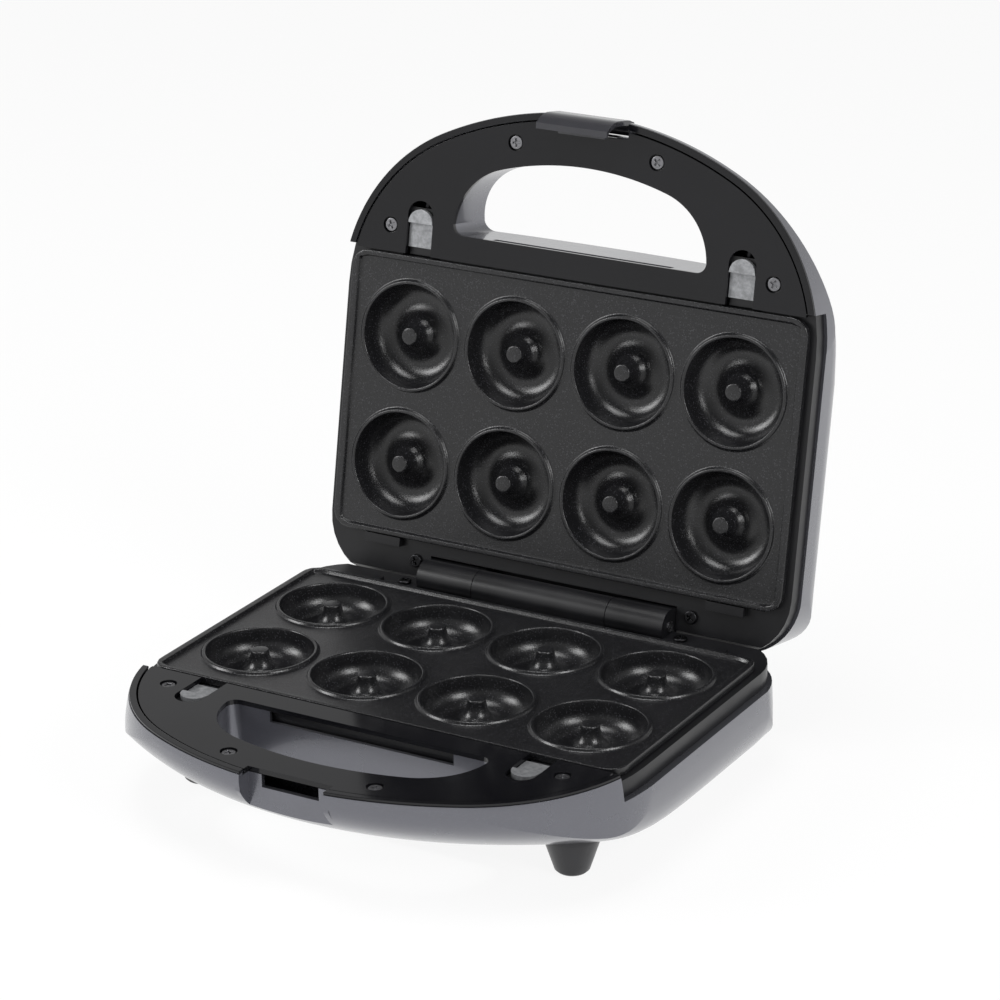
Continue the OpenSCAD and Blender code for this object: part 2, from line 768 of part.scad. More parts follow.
module heater_clips() {
    for (x = [heater_end_x + clip_in[0], heater_bend_x - clip_in[1]])
        both_legs() translate([x - clip_w / 2, heater_turn, 0]) difference() {
            translate([0, -heater_r - 1.4, tray_floor])
                cube([clip_w, heater_d + 2.8, heater_z - tray_floor + 0.4]);
            translate([-1, 0, heater_z]) rotate([0, 90, 0])
                cylinder(r = heater_r + 0.05, h = clip_w + 2);
        }
}

module base_reflector() {
    color(steel) placed() reflector();
}

module lid_reflector() {
    color(steel) in_lid() reflector();
}

module base_heater() {
    color(steel) placed() heater();
}

module lid_heater() {
    color(steel) in_lid() heater();
}

module base_heater_clips() {
    color(steel) placed() heater_clips();
}

module lid_heater_clips() {
    color(steel) in_lid() heater_clips();
}

under_tray = tray_floor - sheet_t - 0.05;

module base_thermostat() {
    color(steel) placed() {
        translate([0, 0, under_tray - 7]) cylinder(d = 16, h = 7);
        translate([0, 0, under_tray - 10.5]) cylinder(d = 10, h = 4);
        both_sides() translate([4.5, -3, under_tray - 9]) cube([8.5, 6, 0.8]);
    }
}

module lid_thermal_fuse() {
    color(steel) in_lid() translate([-14, 0, under_tray - 2]) rotate([0, 90, 0]) {
        cylinder(r = 2, h = 28);
        translate([0, 0, -8]) cylinder(r = 0.6, h = 44);
    }
}

// ---- Screws ---------------------------------------------------------------------
module base_deck_screws() {
    color(steel) placed() screws(deck_screws_at, deck_top - 1.4, deck_screw_l, 1.1);
}

module lid_deck_screws() {
    color(steel) in_lid() screws(deck_screws_at, deck_top - 1.4, deck_screw_l, 1.1);
}

module base_frame_screws() {
    color(steel) placed() screws(frame_screws_at, frame_top, frame_screw_l, 1.6);
}

module lid_frame_screws() {
    color(steel) in_lid() screws(frame_screws_at, frame_top, frame_screw_l, 1.6);
}

// ---- Release sliders ---------------------------------------------------------------
slider_play = 0.35;
slider_r = slot_r - slider_play;
slider_end = slot_front - slider_travel - gap;      // front end of the slider at rest
slider_back = plate_front + 4.2;
lug_y = -slider_end + slider_travel + 1.6;          // front face of the lug at rest

module slider(side) {
    translate([side * slider_x, 0, 0]) {
        // low pad that the thumb rests on
        translate([0, 0, hook_level]) linear_extrude(deck_top - pad_drop - hook_level) slider_outline();
        // raised grip at the front end
        translate([0, 0, hook_level]) linear_extrude(deck_top - 0.1 - hook_level) intersection() {
            slider_outline();
            translate([-slider_r - 1, -slider_end - 1]) square([2 * slider_r + 2, thumb_l + 1]);
        }
        // flange that runs under the deck
        translate([-slider_r - 2, -slider_end - 0.6, hook_level])
            cube([2 * slider_r + 4, slider_end + 0.6 - slider_back, 0.8]);
        // hook over the plate's catch
        translate([-slider_r + 0.4, -slider_back - 3, hook_level - 1.2])
            cube([2 * slider_r - 0.8, 3 + slider_back - plate_front - 0.6, 1.3]);
        // lug for the spring
        translate([-3, lug_y, spring_z - spring_r - 0.2])
            cube([6, 2, hook_level + eps - spring_z + spring_r + 0.2]);
    }
}

module slider_outline() {
    translate([0, -slider_end + slider_r]) circle(r = slider_r);
    translate([-slider_r, -slider_end + slider_r])
        square([2 * slider_r, slider_end - slider_r - slider_back]);
}

module slider_springs() {
    both_sides() translate([slider_x, lug_y - fit, spring_z]) rotate([90, 0, 0])
        difference() {
            cylinder(r = spring_r, h = lug_y + slot_front + 1.2 - 2 * fit, $fn = 24);
            translate([0, 0, -1]) cylinder(r = spring_r - 0.6, h = 20, $fn = 24);
        }
}

module base_left_slider() {
    color(slider_grey) placed() slider(-1);
}

module base_right_slider() {
    color(slider_grey) placed() slider(1);
}

module lid_left_slider() {
    color(slider_grey) in_lid() slider(1);
}

module lid_right_slider() {
    color(slider_grey) in_lid() slider(-1);
}

module base_slider_springs() {
    color(steel) placed() slider_springs();
}

module lid_slider_springs() {
    color(steel) in_lid() slider_springs();
}

// ---- Latch ------------------------------------------------------------------------
pin_z = -8.6;
pin_y = notch_y - 2.9;
latch_top = -12.4;
latch_face = -front_reach + 0.2;

function latch_curve(offset) = [
    for (i = [0:9]) let (z = latch_top + (latch_reach - latch_top) * i / 9)
        [latch_face + offset + front_inset(abs(z)), z]
];

module latch() {
    outer = latch_curve(0);
    inner = latch_curve(latch_t);
    color(cover_grey) in_lid() difference() {
        union() {
            along_x(latch_w) polygon(concat(outer, [for (i = [9:-1:0]) inner[i]]));
            // the tip curls in, and a rib snaps into the base
            along_x(latch_w) polygon([
                [latch_face + front_inset(latch_reach) + 0.2, latch_reach - 1.8],
                [latch_face + front_inset(latch_reach), latch_reach],
                [latch_face + 7, latch_reach], [latch_face + 7, latch_reach - 1.4]
            ]);
            along_x(catch_w - 4) polygon([
                [latch_face + latch_t - 1, 3.6], [notch_y + 1.2, 3.6],
                [notch_y + 1.2, 4.8], [latch_face + latch_t - 1, 8]
            ]);
            translate([-latch_w / 2, pin_y, pin_z]) rotate([0, 90, 0]) cylinder(r = 2.5, h = latch_w);
            along_x(latch_w) polygon([
                [latch_face + 1, pin_z - 2], [latch_face + 1, pin_z + 2],
                [pin_y, pin_z + 2], [pin_y, pin_z - 2]
            ]);
        }
        translate([-30, pin_y, pin_z]) rotate([0, 90, 0]) cylinder(d = latch_pin_d + 0.1, h = 60);
        translate([-7, pin_y - 2.9, pin_z - 3.2]) cube([14, 10, 6.4]);
    }
}

module along_x(width) {
    translate([-width / 2, 0, 0]) rotate([90, 0, 90]) linear_extrude(width) children();
}

module latch_pin() {
    color(steel) in_lid() translate([-notch_w / 2 - 1.9, pin_y, pin_z]) rotate([0, 90, 0])
        cylinder(d = latch_pin_d, h = notch_w + 3.8);
}

module latch_spring() {
    color(steel) in_lid() translate([-5.5, pin_y, pin_z]) rotate([0, 90, 0]) difference() {
        cylinder(r = latch_pin_d / 2 + 0.9, h = 11, $fn = 24);
        translate([0, 0, -1]) cylinder(r = latch_pin_d / 2 + 0.05, h = 20, $fn = 24);
    }
}

// ---- Lamps --------------------------------------------------------------------------
lens_d = 7;
lamps_x = [-13, 13];
lamp_y = -58;
board_z = frame_bottom - 3.6;
board = [48, 14, 1.6];

module lens(x) {
    translate([x, lamp_y, -depth_at(x, lamp_y, lid_half) - 0.7])
        cylinder(d = lens_d, h = depth_at(x, lamp_y, lid_half) + 0.7 + board_z - board[2] - 0.05);
}

module power_lens() {
    color([0.85, 0.1, 0.08]) in_lid() lens(lamps_x[0]);
}

module ready_lens() {
    color([0.1, 0.7, 0.2]) in_lid() lens(lamps_x[1]);
}

module lamp_board() {
    color([0.1, 0.35, 0.2]) in_lid() translate([-board[0] / 2, lamp_y - board[1] / 2, board_z - board[2]]) cube(board);
}

// ---- Mains side ------------------------------------------------------------------------
gland_r = 6;

module cord_gland() {
    wall = rear_reach;
    color(rubber) placed() translate([gland_x, 0, -gland_drop]) difference() {
        union() {
            translate([0, wall + 2.6, 0]) rotate([90, 0, 0]) cylinder(r = gland_r + 2, h = 2.5);
            translate([0, wall + 1, 0]) rotate([90, 0, 0]) cylinder(r = gland_r, h = 7);
            translate([0, wall - rim_w - 0.1, 0]) rotate([90, 0, 0]) cylinder(r = gland_r + 1.6, h = 2.2);
        }
        translate([0, wall, 0]) rotate([90, 0, 0]) cylinder(d = gland_bore, h = 60, center = true);
    }
}

block = [36, 14, 10];
block_y = 44;

module terminal_block() {
    floor_z = cover_wall + 0.2 - base_depth;
    color([0.9, 0.9, 0.87]) placed() translate([0, block_y, floor_z]) difference() {
        translate([-block[0] / 2, -block[1] / 2, 0]) cube(block);
        for (i = [-1:1]) translate([i * block[0] / 3, 0, block[2] / 2]) {
            rotate([90, 0, 0]) cylinder(d = 4, h = 2 * block[1], center = true);
            cylinder(d = 3, h = block[2]);
        }
    }
}

// ---- Feet -----------------------------------------------------------------------------
foot_top = frame_bottom - 1.6;

module front_feet() {
    r = front_foot_d / 2;
    tip = front_foot_tip_d / 2;
    color(rubber) placed() both_sides() translate([half_w - front_feet_in, -front_feet_y, 0])
        rotate_extrude() polygon([
            [0, -stand_h], [tip - 1.5, -stand_h], [tip, -stand_h + 1.5],
            [r - 1.2, -stand_h + 14], [r, -stand_h + 18], [r, foot_top - fit], [0, foot_top - fit]
        ]);
}

module rear_feet() {
    r = rear_foot_d / 2;
    color(rubber) placed() both_sides() translate([half_w - rear_feet_in, rear_feet_y, 0])
        rotate_extrude() polygon([
            [0, -stand_h], [r - 1.2, -stand_h], [r, -stand_h + 1.2],
            [r, -base_depth + 1.1], [0, -base_depth + 1.1]
        ]);
}

// ---- Assembly --------------------------------------------------------------------------
base_cover();
base_frame();
base_deck();
base_plate();
base_reflector();
base_heater();
base_heater_clips();
base_thermostat();
base_deck_screws();
base_frame_screws();
hinge_pin();
cord_gland();
terminal_block();
front_feet();
rear_feet();
base_slider_springs();
base_left_slider();
base_right_slider();
lid_cover();
lid_frame();
lid_deck();
lid_plate();
lid_reflector();
lid_heater();
lid_heater_clips();
lid_thermal_fuse();
lid_deck_screws();
lid_frame_screws();
lid_slider_springs();
lamp_board();
power_lens();
ready_lens();
latch_pin();
latch_spring();
latch();
lid_left_slider();
lid_right_slider();
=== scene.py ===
"""Dresses the open mini doughnut maker: grey shells, black decks, coated plates and a pale studio."""

import json
from math import asin, atan2, cos, pi, radians, sin, sqrt

import bmesh
import bpy
from bpy.props import FloatProperty, FloatVectorProperty
from bpy.types import Operator, Panel, PropertyGroup
from mathutils import Matrix, Vector

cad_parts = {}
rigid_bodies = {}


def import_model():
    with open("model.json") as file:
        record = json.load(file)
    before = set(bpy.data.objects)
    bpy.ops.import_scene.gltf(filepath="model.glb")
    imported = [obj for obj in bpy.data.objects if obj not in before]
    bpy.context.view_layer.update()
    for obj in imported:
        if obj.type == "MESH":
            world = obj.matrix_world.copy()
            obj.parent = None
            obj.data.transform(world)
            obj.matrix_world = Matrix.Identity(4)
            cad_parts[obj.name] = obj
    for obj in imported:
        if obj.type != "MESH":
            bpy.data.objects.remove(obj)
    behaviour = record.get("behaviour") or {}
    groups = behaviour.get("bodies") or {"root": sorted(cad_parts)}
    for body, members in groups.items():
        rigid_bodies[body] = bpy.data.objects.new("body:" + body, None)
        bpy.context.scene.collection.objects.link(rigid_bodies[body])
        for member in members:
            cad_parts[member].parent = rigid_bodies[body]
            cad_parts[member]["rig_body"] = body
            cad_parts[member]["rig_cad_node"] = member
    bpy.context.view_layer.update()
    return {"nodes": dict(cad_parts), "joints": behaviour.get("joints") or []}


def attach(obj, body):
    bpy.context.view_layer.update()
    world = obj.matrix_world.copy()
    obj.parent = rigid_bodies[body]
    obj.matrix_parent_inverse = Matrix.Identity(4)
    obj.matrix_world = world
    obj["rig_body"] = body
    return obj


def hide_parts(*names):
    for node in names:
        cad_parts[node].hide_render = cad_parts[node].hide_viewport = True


bl_info = {
    "name": "Mini doughnut maker",
    "version": (1, 0, 0),
    "blender": (4, 5, 0),
    "location": "3D View > Sidebar > Doughnut maker",
    "description": "Shells, decks, plates, latch, sliders, screws and studio of an open doughnut maker",
    "category": "Object",
}

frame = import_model()
MM = 0.001


# ---- Sizes and colours that a user would change -------------------------------------
def length(name, description, default):
    return FloatProperty(name=name, description=description, default=default, unit="LENGTH")


def colour(name, description, default):
    return FloatVectorProperty(
        name=name, description=description, default=default, size=3, subtype="COLOR", min=0, max=1
    )


class ShellSizes(PropertyGroup):
    """Sizes of the two grey shells"""

    width: length("Width", "Width of the body across its sides", 0.244)
    front_reach: length("Front reach", "Reach of the body in front of the grid's centre", 0.1435)
    rear_reach: length("Rear reach", "Reach of the body behind the grid's centre", 0.089)
    front_radius: length("Front radius", "Radius of the broad front edge in plan", 0.170)
    corner_radius: length("Corner radius", "Radius of the two front corners in plan", 0.084)
    rear_radius: length("Rear radius", "Radius of the two rear corners in plan", 0.030)
    front_edge: length("Front edge", "Height of the upright rim along the front", 0.0045)
    wall: length("Wall", "Wall thickness of a shell at its rim", 0.0032)
    floor_wall: length("Floor", "Wall thickness of a shell's broad face", 0.0026)
    band: length("Band", "Width of the black band along the rim", 0.0031)
    band_height: length("Band height", "Height of the black band", 0.00125)
    step_depth: length("Step depth", "Depth of the shells' top edge along the sides", 0.012)
    notch_width: length("Notch width", "Width of the notch for the latch", 0.041)
    notch_depth: length("Notch depth", "Depth of the notch behind the front edge", 0.008)


class DeckSizes(PropertyGroup):
    """Sizes of the glossy decks and of the handle openings in them"""

    thickness: length("Thickness", "Thickness of a deck", 0.0022)
    drop: length("Drop", "Drop of a deck below the parting plane", 0.0005)
    bar: length("Handle bar", "Width of the handle bar at the front", 0.0235)
    opening_half: length("Opening half width", "Half width of the handle opening", 0.0653)
    opening_back: length("Opening back", "Back edge of the handle opening", 0.0805)
    opening_corner: length("Opening corner", "Radius of the opening's front corners", 0.032)
    opening_wall: length("Opening wall", "Wall of the handle opening", 0.0018)
    slider_place: length("Slider place", "Distance of a slider from the middle", 0.08275)
    slot_width: length("Slot width", "Width of a slider's slot", 0.0135)
    slot_front: length("Slot front", "Front end of a slider's slot", 0.094)


class PlateSizes(PropertyGroup):
    """Sizes of the coated baking plates"""

    pitch_x: length("Pitch across", "Distance between cavities along the width", 0.056)
    pitch_y: length("Pitch in depth", "Distance between the two rows of cavities", 0.0607)
    field: length("Field", "Drop of a plate's field below the parting plane", 0.00175)
    lip: length("Lip", "Width of the raised lip at the sides", 0.0042)


class Finishes(PropertyGroup):
    """Colours of the finishes"""

    cover: colour("Cover", "Metallic lacquer of the shells", (0.150, 0.152, 0.172))
    deck: colour("Deck", "Glossy black of the decks", (0.004, 0.004, 0.005))
    frame: colour("Frame", "Satin black of the inner frames", (0.006, 0.006, 0.007))
    coating: colour("Coating", "Non-stick coating of the plates", (0.009, 0.009, 0.010))
    slider: colour("Slider", "Cast grey of the sliders", (0.27, 0.275, 0.285))
    latch: colour("Latch", "Dark grey gloss of the latch", (0.035, 0.035, 0.040))
    rubber: colour("Rubber", "Feet and cord inlet", (0.012, 0.012, 0.014))
    floor: colour("Floor", "Paper that the appliance stands on", (0.97, 0.97, 0.97))


GROUPS = {
    "maker_shell": ShellSizes,
    "maker_deck": DeckSizes,
    "maker_plate": PlateSizes,
    "maker_finish": Finishes,
}

# ---- Places taken from the frame ------------------------------------------------------
HINGE = next(joint for joint in frame["joints"] if joint["name"] == "lid_hinge")
HINGE_POINT = Vector(HINGE["pos_m"])
OPEN_ANGLE = radians(HINGE["range_deg"][1])
HINGE_BACK = 0.0802          # hinge axis behind the grid's centre
HINGE_DROP = 0.0008          # hinge axis below the parting plane
PARTING = 0.00015            # half of the gap between the closed halves

# From the closed frame, with the parting plane at Z = 0, to each half's place in the row frame
BASE_PLACE = Matrix.Translation(HINGE_POINT - Vector((0, HINGE_BACK, -HINGE_DROP)))
LID_PLACE = (
    Matrix.Translation(HINGE_POINT)
    @ Matrix.Rotation(-OPEN_ANGLE, 4, "X")
    @ Matrix.Translation((0, -HINGE_BACK, HINGE_DROP))
    @ Matrix.Rotation(pi, 4, "Y")
)
PLACES = {"base": BASE_PLACE, "lid": LID_PLACE}

# Depth, side rounding, rear rounding and length of the front crown of each half, then the
# squareness of its rounded edges and of its crown, and the swell of its sides beyond the rim
FORMS = {
    "base": (0.049, 0.030, 0.018, 0.150, 2.4, 2.0, 0.0025),
    "lid": (0.038, 0.0299, 0.012, 0.0675, 4.0, 1.17, 0.0002),
}
CORE = (0.0, -0.022)         # where a shell's surface closes
DECK_SCREWS = ((0.0985, -0.0809), (-0.0985, -0.0809), (0.0361, -0.1268), (-0.0361, -0.1268))
FRAME_SCREWS = ((0.0725, 0.0752), (-0.0725, 0.0752))
FRAME_SEAT_DEPTH = 0.0039
SCREW_HEAD = 0.0032          # radius of a screw's head


# ---- Modelling helpers -----------------------------------------------------------------
COPY_WELD = 2e-6             # distances, in metres, at which close points are welded
CUT_WELD = 5e-6
SHEET_WELD = 2e-5
FLAT_ANGLE = 0.4             # degrees between faces that are one flat


def deselect():
    if bpy.context.object and bpy.context.object.mode != "OBJECT":
        bpy.ops.object.mode_set(mode="OBJECT")
    bpy.ops.object.select_all(action="DESELECT")


def pick(*pieces):
    deselect()
    for piece in pieces:
        piece.select_set(True)
    bpy.context.view_layer.objects.active = pieces[0]


def edit(piece):
    """Opens a piece for editing with nothing selected and returns its mesh."""
    pick(piece)
    bpy.ops.object.mode_set(mode="EDIT")
    bpy.ops.mesh.select_all(action="DESELECT")
    return bmesh.from_edit_mesh(piece.data)


def done(piece):
    bmesh.update_edit_mesh(piece.data)
    bpy.ops.object.mode_set(mode="OBJECT")


def weld_points(distance=1e-6):
    """Welds the close points of the piece that is open for editing."""
    bpy.ops.mesh.select_all(action="SELECT")
    bpy.ops.mesh.remove_doubles(threshold=distance)


def face_outward():
    bpy.ops.mesh.select_all(action="SELECT")
    bpy.ops.mesh.normals_make_consistent(inside=False)


def select_faces(mesh, test):
    bpy.ops.mesh.select_mode(type="FACE")
    for face in mesh.faces:
        face.select_set(test(face))
    mesh.select_flush_mode()


def select_edges(mesh, test):
    bpy.ops.mesh.select_mode(type="EDGE")
    for edge in mesh.edges:
        edge.select_set(test(edge))
    mesh.select_flush_mode()


def apply_modifiers(piece):
    pick(piece)
    for modifier in list(piece.modifiers):
        bpy.ops.object.modifier_apply(modifier=modifier.name)


def carve(piece, tool, operation="DIFFERENCE"):
    """Cuts a tool out of a piece, or adds or keeps what they share."""
    modifier = piece.modifiers.new("Carve", "BOOLEAN")
    modifier.object = tool
    modifier.operation = operation
    modifier.solver = "EXACT"
    apply_modifiers(piece)
    bpy.data.objects.remove(tool)
    edit(piece)
    weld_points(CUT_WELD)
    done(piece)


def round_edges(piece, width, angle=35, segments=2):
    """Rounds the sharp edges so that they catch the light."""
    modifier = piece.modifiers.new("Edges", "BEVEL")
    modifier.width = width
    modifier.segments = segments
    modifier.limit_method = "ANGLE"
    modifier.angle_limit = radians(angle)
    apply_modifiers(piece)


def smooth(piece, angle=32):
    """Smooth shading that keeps the sharp edges and lets the broad faces look flat."""
    pick(piece)
    bpy.ops.object.shade_smooth_by_angle(angle=radians(angle))
    modifier = piece.modifiers.new("Normals", "WEIGHTED_NORMAL")
    modifier.keep_sharp = True
    apply_modifiers(piece)


def join(pieces):
    pick(*pieces)
    bpy.ops.object.join()
    return bpy.context.object


def twin(piece):
    """A copy with its own mesh."""
    pick(piece)
    bpy.ops.object.duplicate()
    return bpy.context.object


def block(name, low, high):
    """A box between two corners."""
    deselect()
    bpy.ops.mesh.primitive_cube_add(size=1)
    piece = bpy.context.object
    piece.name = name
    low, high = Vector(low), Vector(high)
    centre, size = (low + high) / 2, high - low
    for vertex in piece.data.vertices:
        vertex.co = centre + Vector(a * b for a, b in zip(vertex.co, size))
    return piece


def prism(name, outline, low, high):
    """A closed plan outline drawn up into a block."""
    deselect()
    bpy.ops.mesh.primitive_circle_add(vertices=len(outline), fill_type="NGON")
    piece = bpy.context.object
    piece.name = name
    for vertex, (x, y) in zip(piece.data.vertices, outline):
        vertex.co = (x, y, low)
    edit(piece)
    bpy.ops.mesh.select_all(action="SELECT")
    bpy.ops.mesh.extrude_region_move(TRANSFORM_OT_translate={"value": (0, 0, high - low)})
    face_outward()
    done(piece)
    return piece


def rod(name, start, end, radius, sides=32):
    """A round rod between two points."""
    deselect()
    start, end = Vector(start), Vector(end)
    run = end - start
    bpy.ops.mesh.primitive_cylinder_add(vertices=sides, radius=radius, depth=run.length)
    piece = bpy.context.object
    piece.name = name
    turn = run.to_track_quat("Z", "Y").to_matrix().to_4x4()
    piece.data.transform(Matrix.Translation((start + end) / 2) @ turn)
    return piece


def dressed_copy(node, bevel):
    """A welded copy of a CAD node with its sharp edges rounded."""
    piece = twin(frame["nodes"][node])
    piece.parent = None
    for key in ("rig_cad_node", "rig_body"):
        if key in piece:
            del piece[key]
    edit(piece)
    bpy.ops.mesh.select_all(action="SELECT")
    bpy.ops.mesh.customdata_custom_splitnormals_clear()
    weld_points(COPY_WELD)
    bpy.ops.mesh.dissolve_limited(angle_limit=radians(FLAT_ANGLE))
    done(piece)
    round_edges(piece, bevel, 38)
    smooth(piece)
    return piece


def settle(piece, name, body, slot, material, *nodes):
    """Names a finished piece, gives it its finish and lets it ride on its body."""
    piece.name = name
    piece.data.materials.clear()
    piece.data.materials.append(material)
    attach(piece, body)
    if nodes:
        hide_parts(*nodes)
    return piece


# ---- Plan outlines and depths shared by shells and decks ----------------------------------
def arc(cx, cy, radius, start, end, steps):
    """Points [x, y, outward x, outward y] along an arc, with angles in radians."""
    turns = [start + (end - start) * i / steps for i in range(steps + 1)]
    return [(cx + radius * cos(a), cy + radius * sin(a), cos(a), sin(a)) for a in turns]


def mirrored(run):
    return [(-x, y, -nx, ny) for x, y, nx, ny in reversed(run)]


def rim_run(s):
    """The body's outline in plan."""
    front_c = s.front_radius - s.front_reach
    corner_x = s.width / 2 - s.corner_radius
    corner_y = front_c - sqrt((s.front_radius - s.corner_radius) ** 2 - corner_x**2)
    corner_a = atan2(corner_y - front_c, corner_x)
    rear_y = s.rear_reach - s.rear_radius
    side = [(s.width / 2, corner_y + (rear_y - corner_y) * i / 8, 1, 0) for i in range(1, 8)]
    right = (
        arc(0, front_c, s.front_radius, -pi / 2, corner_a, 22)
        + arc(corner_x, corner_y, s.corner_radius, corner_a, 0, 22)[1:]
        + side
        + arc(s.width / 2 - s.rear_radius, rear_y, s.rear_radius, 0, pi / 2, 12)
    )
    back = [(right[-1][0] * (1 - i / 6), s.rear_reach, 0, 1) for i in range(1, 7)]
    half = right + back
    return half[:-1] + mirrored(half)[:-1]


def inset(run, amount):
    return [(x - amount * nx, y - amount * ny) for x, y, nx, ny in run]


OPENING_REAR = 0.005          # radius of the opening's rear corners


def opening_run(s, d):
    """Outline of the handle opening."""
    front_c = s.front_radius - s.front_reach
    big = s.front_radius - d.bar
    cx = d.opening_half - d.opening_corner
    cy = front_c - sqrt((big - d.opening_corner) ** 2 - cx**2)
    bend = atan2(cy - front_c, cx)
    rear_y = -d.opening_back - OPENING_REAR
    end = asin((rear_y - cy) / d.opening_corner)
    right = (
        arc(0, front_c, big, -pi / 2, bend, 14)
        + arc(cx, cy, d.opening_corner, bend, end, 16)[1:]
        + arc(d.opening_half - OPENING_REAR, rear_y, OPENING_REAR, 0, pi / 2, 6)
    )
    return right + mirrored(right)[:-1]


def rounded(distance, radius, power):
    """Fall of a rounded edge at a distance from it, as a share of its radius."""
    share = min(1, max(0, distance) / radius)
    return 1 - (1 - (1 - share) ** power) ** (1 / power)


def depth_at(x, y, half, s):
    """Depth of a shell's surface under a point of the plan."""
    depth, side_round, rear_round, crown, power, crown_power, _ = FORMS[half]
    front_c = s.front_radius - s.front_reach
    edge_y = front_c - sqrt(s.front_radius**2 - x**2)
    front = (depth - s.front_edge) * rounded(y - edge_y, crown, crown_power)
    side = side_round * rounded(s.width / 2 - abs(x), side_round, power)
    rear = rear_round * rounded(s.rear_reach - y, rear_round, power)
    return depth - (side**3 + rear**3 + front**3) ** (1 / 3)


# Shares of the wall's height, then insets (mm) and shrinking rings of the underside
WALL_ROWS = (0, 0.1, 0.25, 0.45, 0.66, 0.85, 1)
INSET_ROWS = (0.2, 0.6, 1.2, 1.9, 2.8, 4, 5.4, 7, 8.8, 10.8, 13, 15.5, 18.5, 22, 25.5)
CENTRE_ROWS = (0.93, 0.86, 0.78, 0.7, 0.61, 0.52, 0.43, 0.33, 0.22, 0.1)
BULGE_DEPTH = 0.018          # wall height over which the sides swell
WALL_FULLNESS = 2.2          # how soon the swell is reached below the rim
LAST_INSET = INSET_ROWS[-1] * MM


def shell_rows(half, s, inwards=0.0, lift=0.0, top=-PARTING):
    """Rings of a shell's surface, from its rim to the middle of its underside."""
    run = [(x - inwards * nx, y - inwards * ny, nx, ny) for x, y, nx, ny in rim_run(s)]

    def swell(point, depth):
        return FORMS[half][-1] * min(1, depth / BULGE_DEPTH) * (1 - max(0, point[3]))

    rows = []
    for share in WALL_ROWS:
        row = []
        for x, y, nx, ny in run:
            depth = depth_at(x, y, half, s)
            out = swell((x, y, nx, ny), depth) * (1 - (1 - share) ** WALL_FULLNESS)
            row.append((x + out * nx, y + out * ny, top + (lift - depth - top) * share))
        rows.append(row)
    for step in INSET_ROWS:
        row = []
        for x, y, nx, ny in run:
            out = swell((x, y, nx, ny), depth_at(x, y, half, s)) * (1 - step * MM / LAST_INSET) ** 2
            px, py = x - step * MM * nx, y - step * MM * ny
            row.append((px + out * nx, py + out * ny, lift - depth_at(px, py, half, s)))
        rows.append(row)
    for share in CENTRE_ROWS:
        row = []
        for x, y, nx, ny in run:
            px = CORE[0] + (x - LAST_INSET * nx - CORE[0]) * share
            py = CORE[1] + (y - LAST_INSET * ny - CORE[1]) * share
            row.append((px, py, lift - depth_at(px, py, half, s)))
        rows.append(row)
    rows.append([(*CORE, lift - depth_at(*CORE, half, s))] * len(run))
    return rows


def skin(name, rows):
    """A solid through rings of equal count, made from a grid that is closed at its rim."""
    deselect()
    around = len(rows[0])
    bpy.ops.mesh.primitive_grid_add(x_subdivisions=around, y_subdivisions=len(rows) - 1, size=1)
    piece = bpy.context.object
    piece.name = name
    for index, vertex in enumerate(piece.data.vertices):
        row, column = divmod(index, around + 1)
        vertex.co = rows[row][column % around]
    edit(piece)
    weld_points()
    bpy.ops.mesh.select_all(action="DESELECT")
    bpy.ops.mesh.select_mode(type="EDGE")
    bpy.ops.mesh.select_non_manifold()
    bpy.ops.mesh.edge_face_add()
    face_outward()
    done(piece)
    return piece


# ---- Shells ---------------------------------------------------------------------------------
NOTCH_FLOOR = {"base": -0.060, "lid": -0.0133}
CATCH = (0.014, -0.0086, -0.0026)        # half width, bottom and top of the latch's slot
WINDOW = (0.046, 0.0075)                 # half width and depth of the window behind the opening
PLATE_FRONT = 0.0678
PLATE_REAR = 0.065
PLATE_HALF = 0.1175
STEP = -PLATE_FRONT - 0.0022             # where the shells' top edge steps down
SEAM = 0.0001                            # between moulded parts that meet
BESIDE, ABOVE = 0.2, 0.02                # how far cutting tools reach beside and above a half
TUBE_FOOT, HOLE_FOOT = -0.08, -0.09      # lower ends of the opening's wall and of its cut
INSIDE_TOP = 0.001                       # top of the tool that hollows a shell
# Inset, lift and top of the space that ribs are kept in
WITHIN = (0.0012, 0.001, -PARTING - 0.0003)
NOTCH_RIB = (0.0024, 0.001, -0.030)      # wall, inset and foot of the rib round the latch's notch


def band_around(s, outer, inner, low, high):
    """A band that follows the rim in front of the step."""
    piece = prism("band", inset(rim_run(s), outer), low, high)
    carve(piece, prism("inner", inset(rim_run(s), inner), low - 0.01, high + 0.01))
    carve(piece, block("rear", (-BESIDE, STEP, low - 0.01), (BESIDE, BESIDE, high + 0.01)))
    return piece


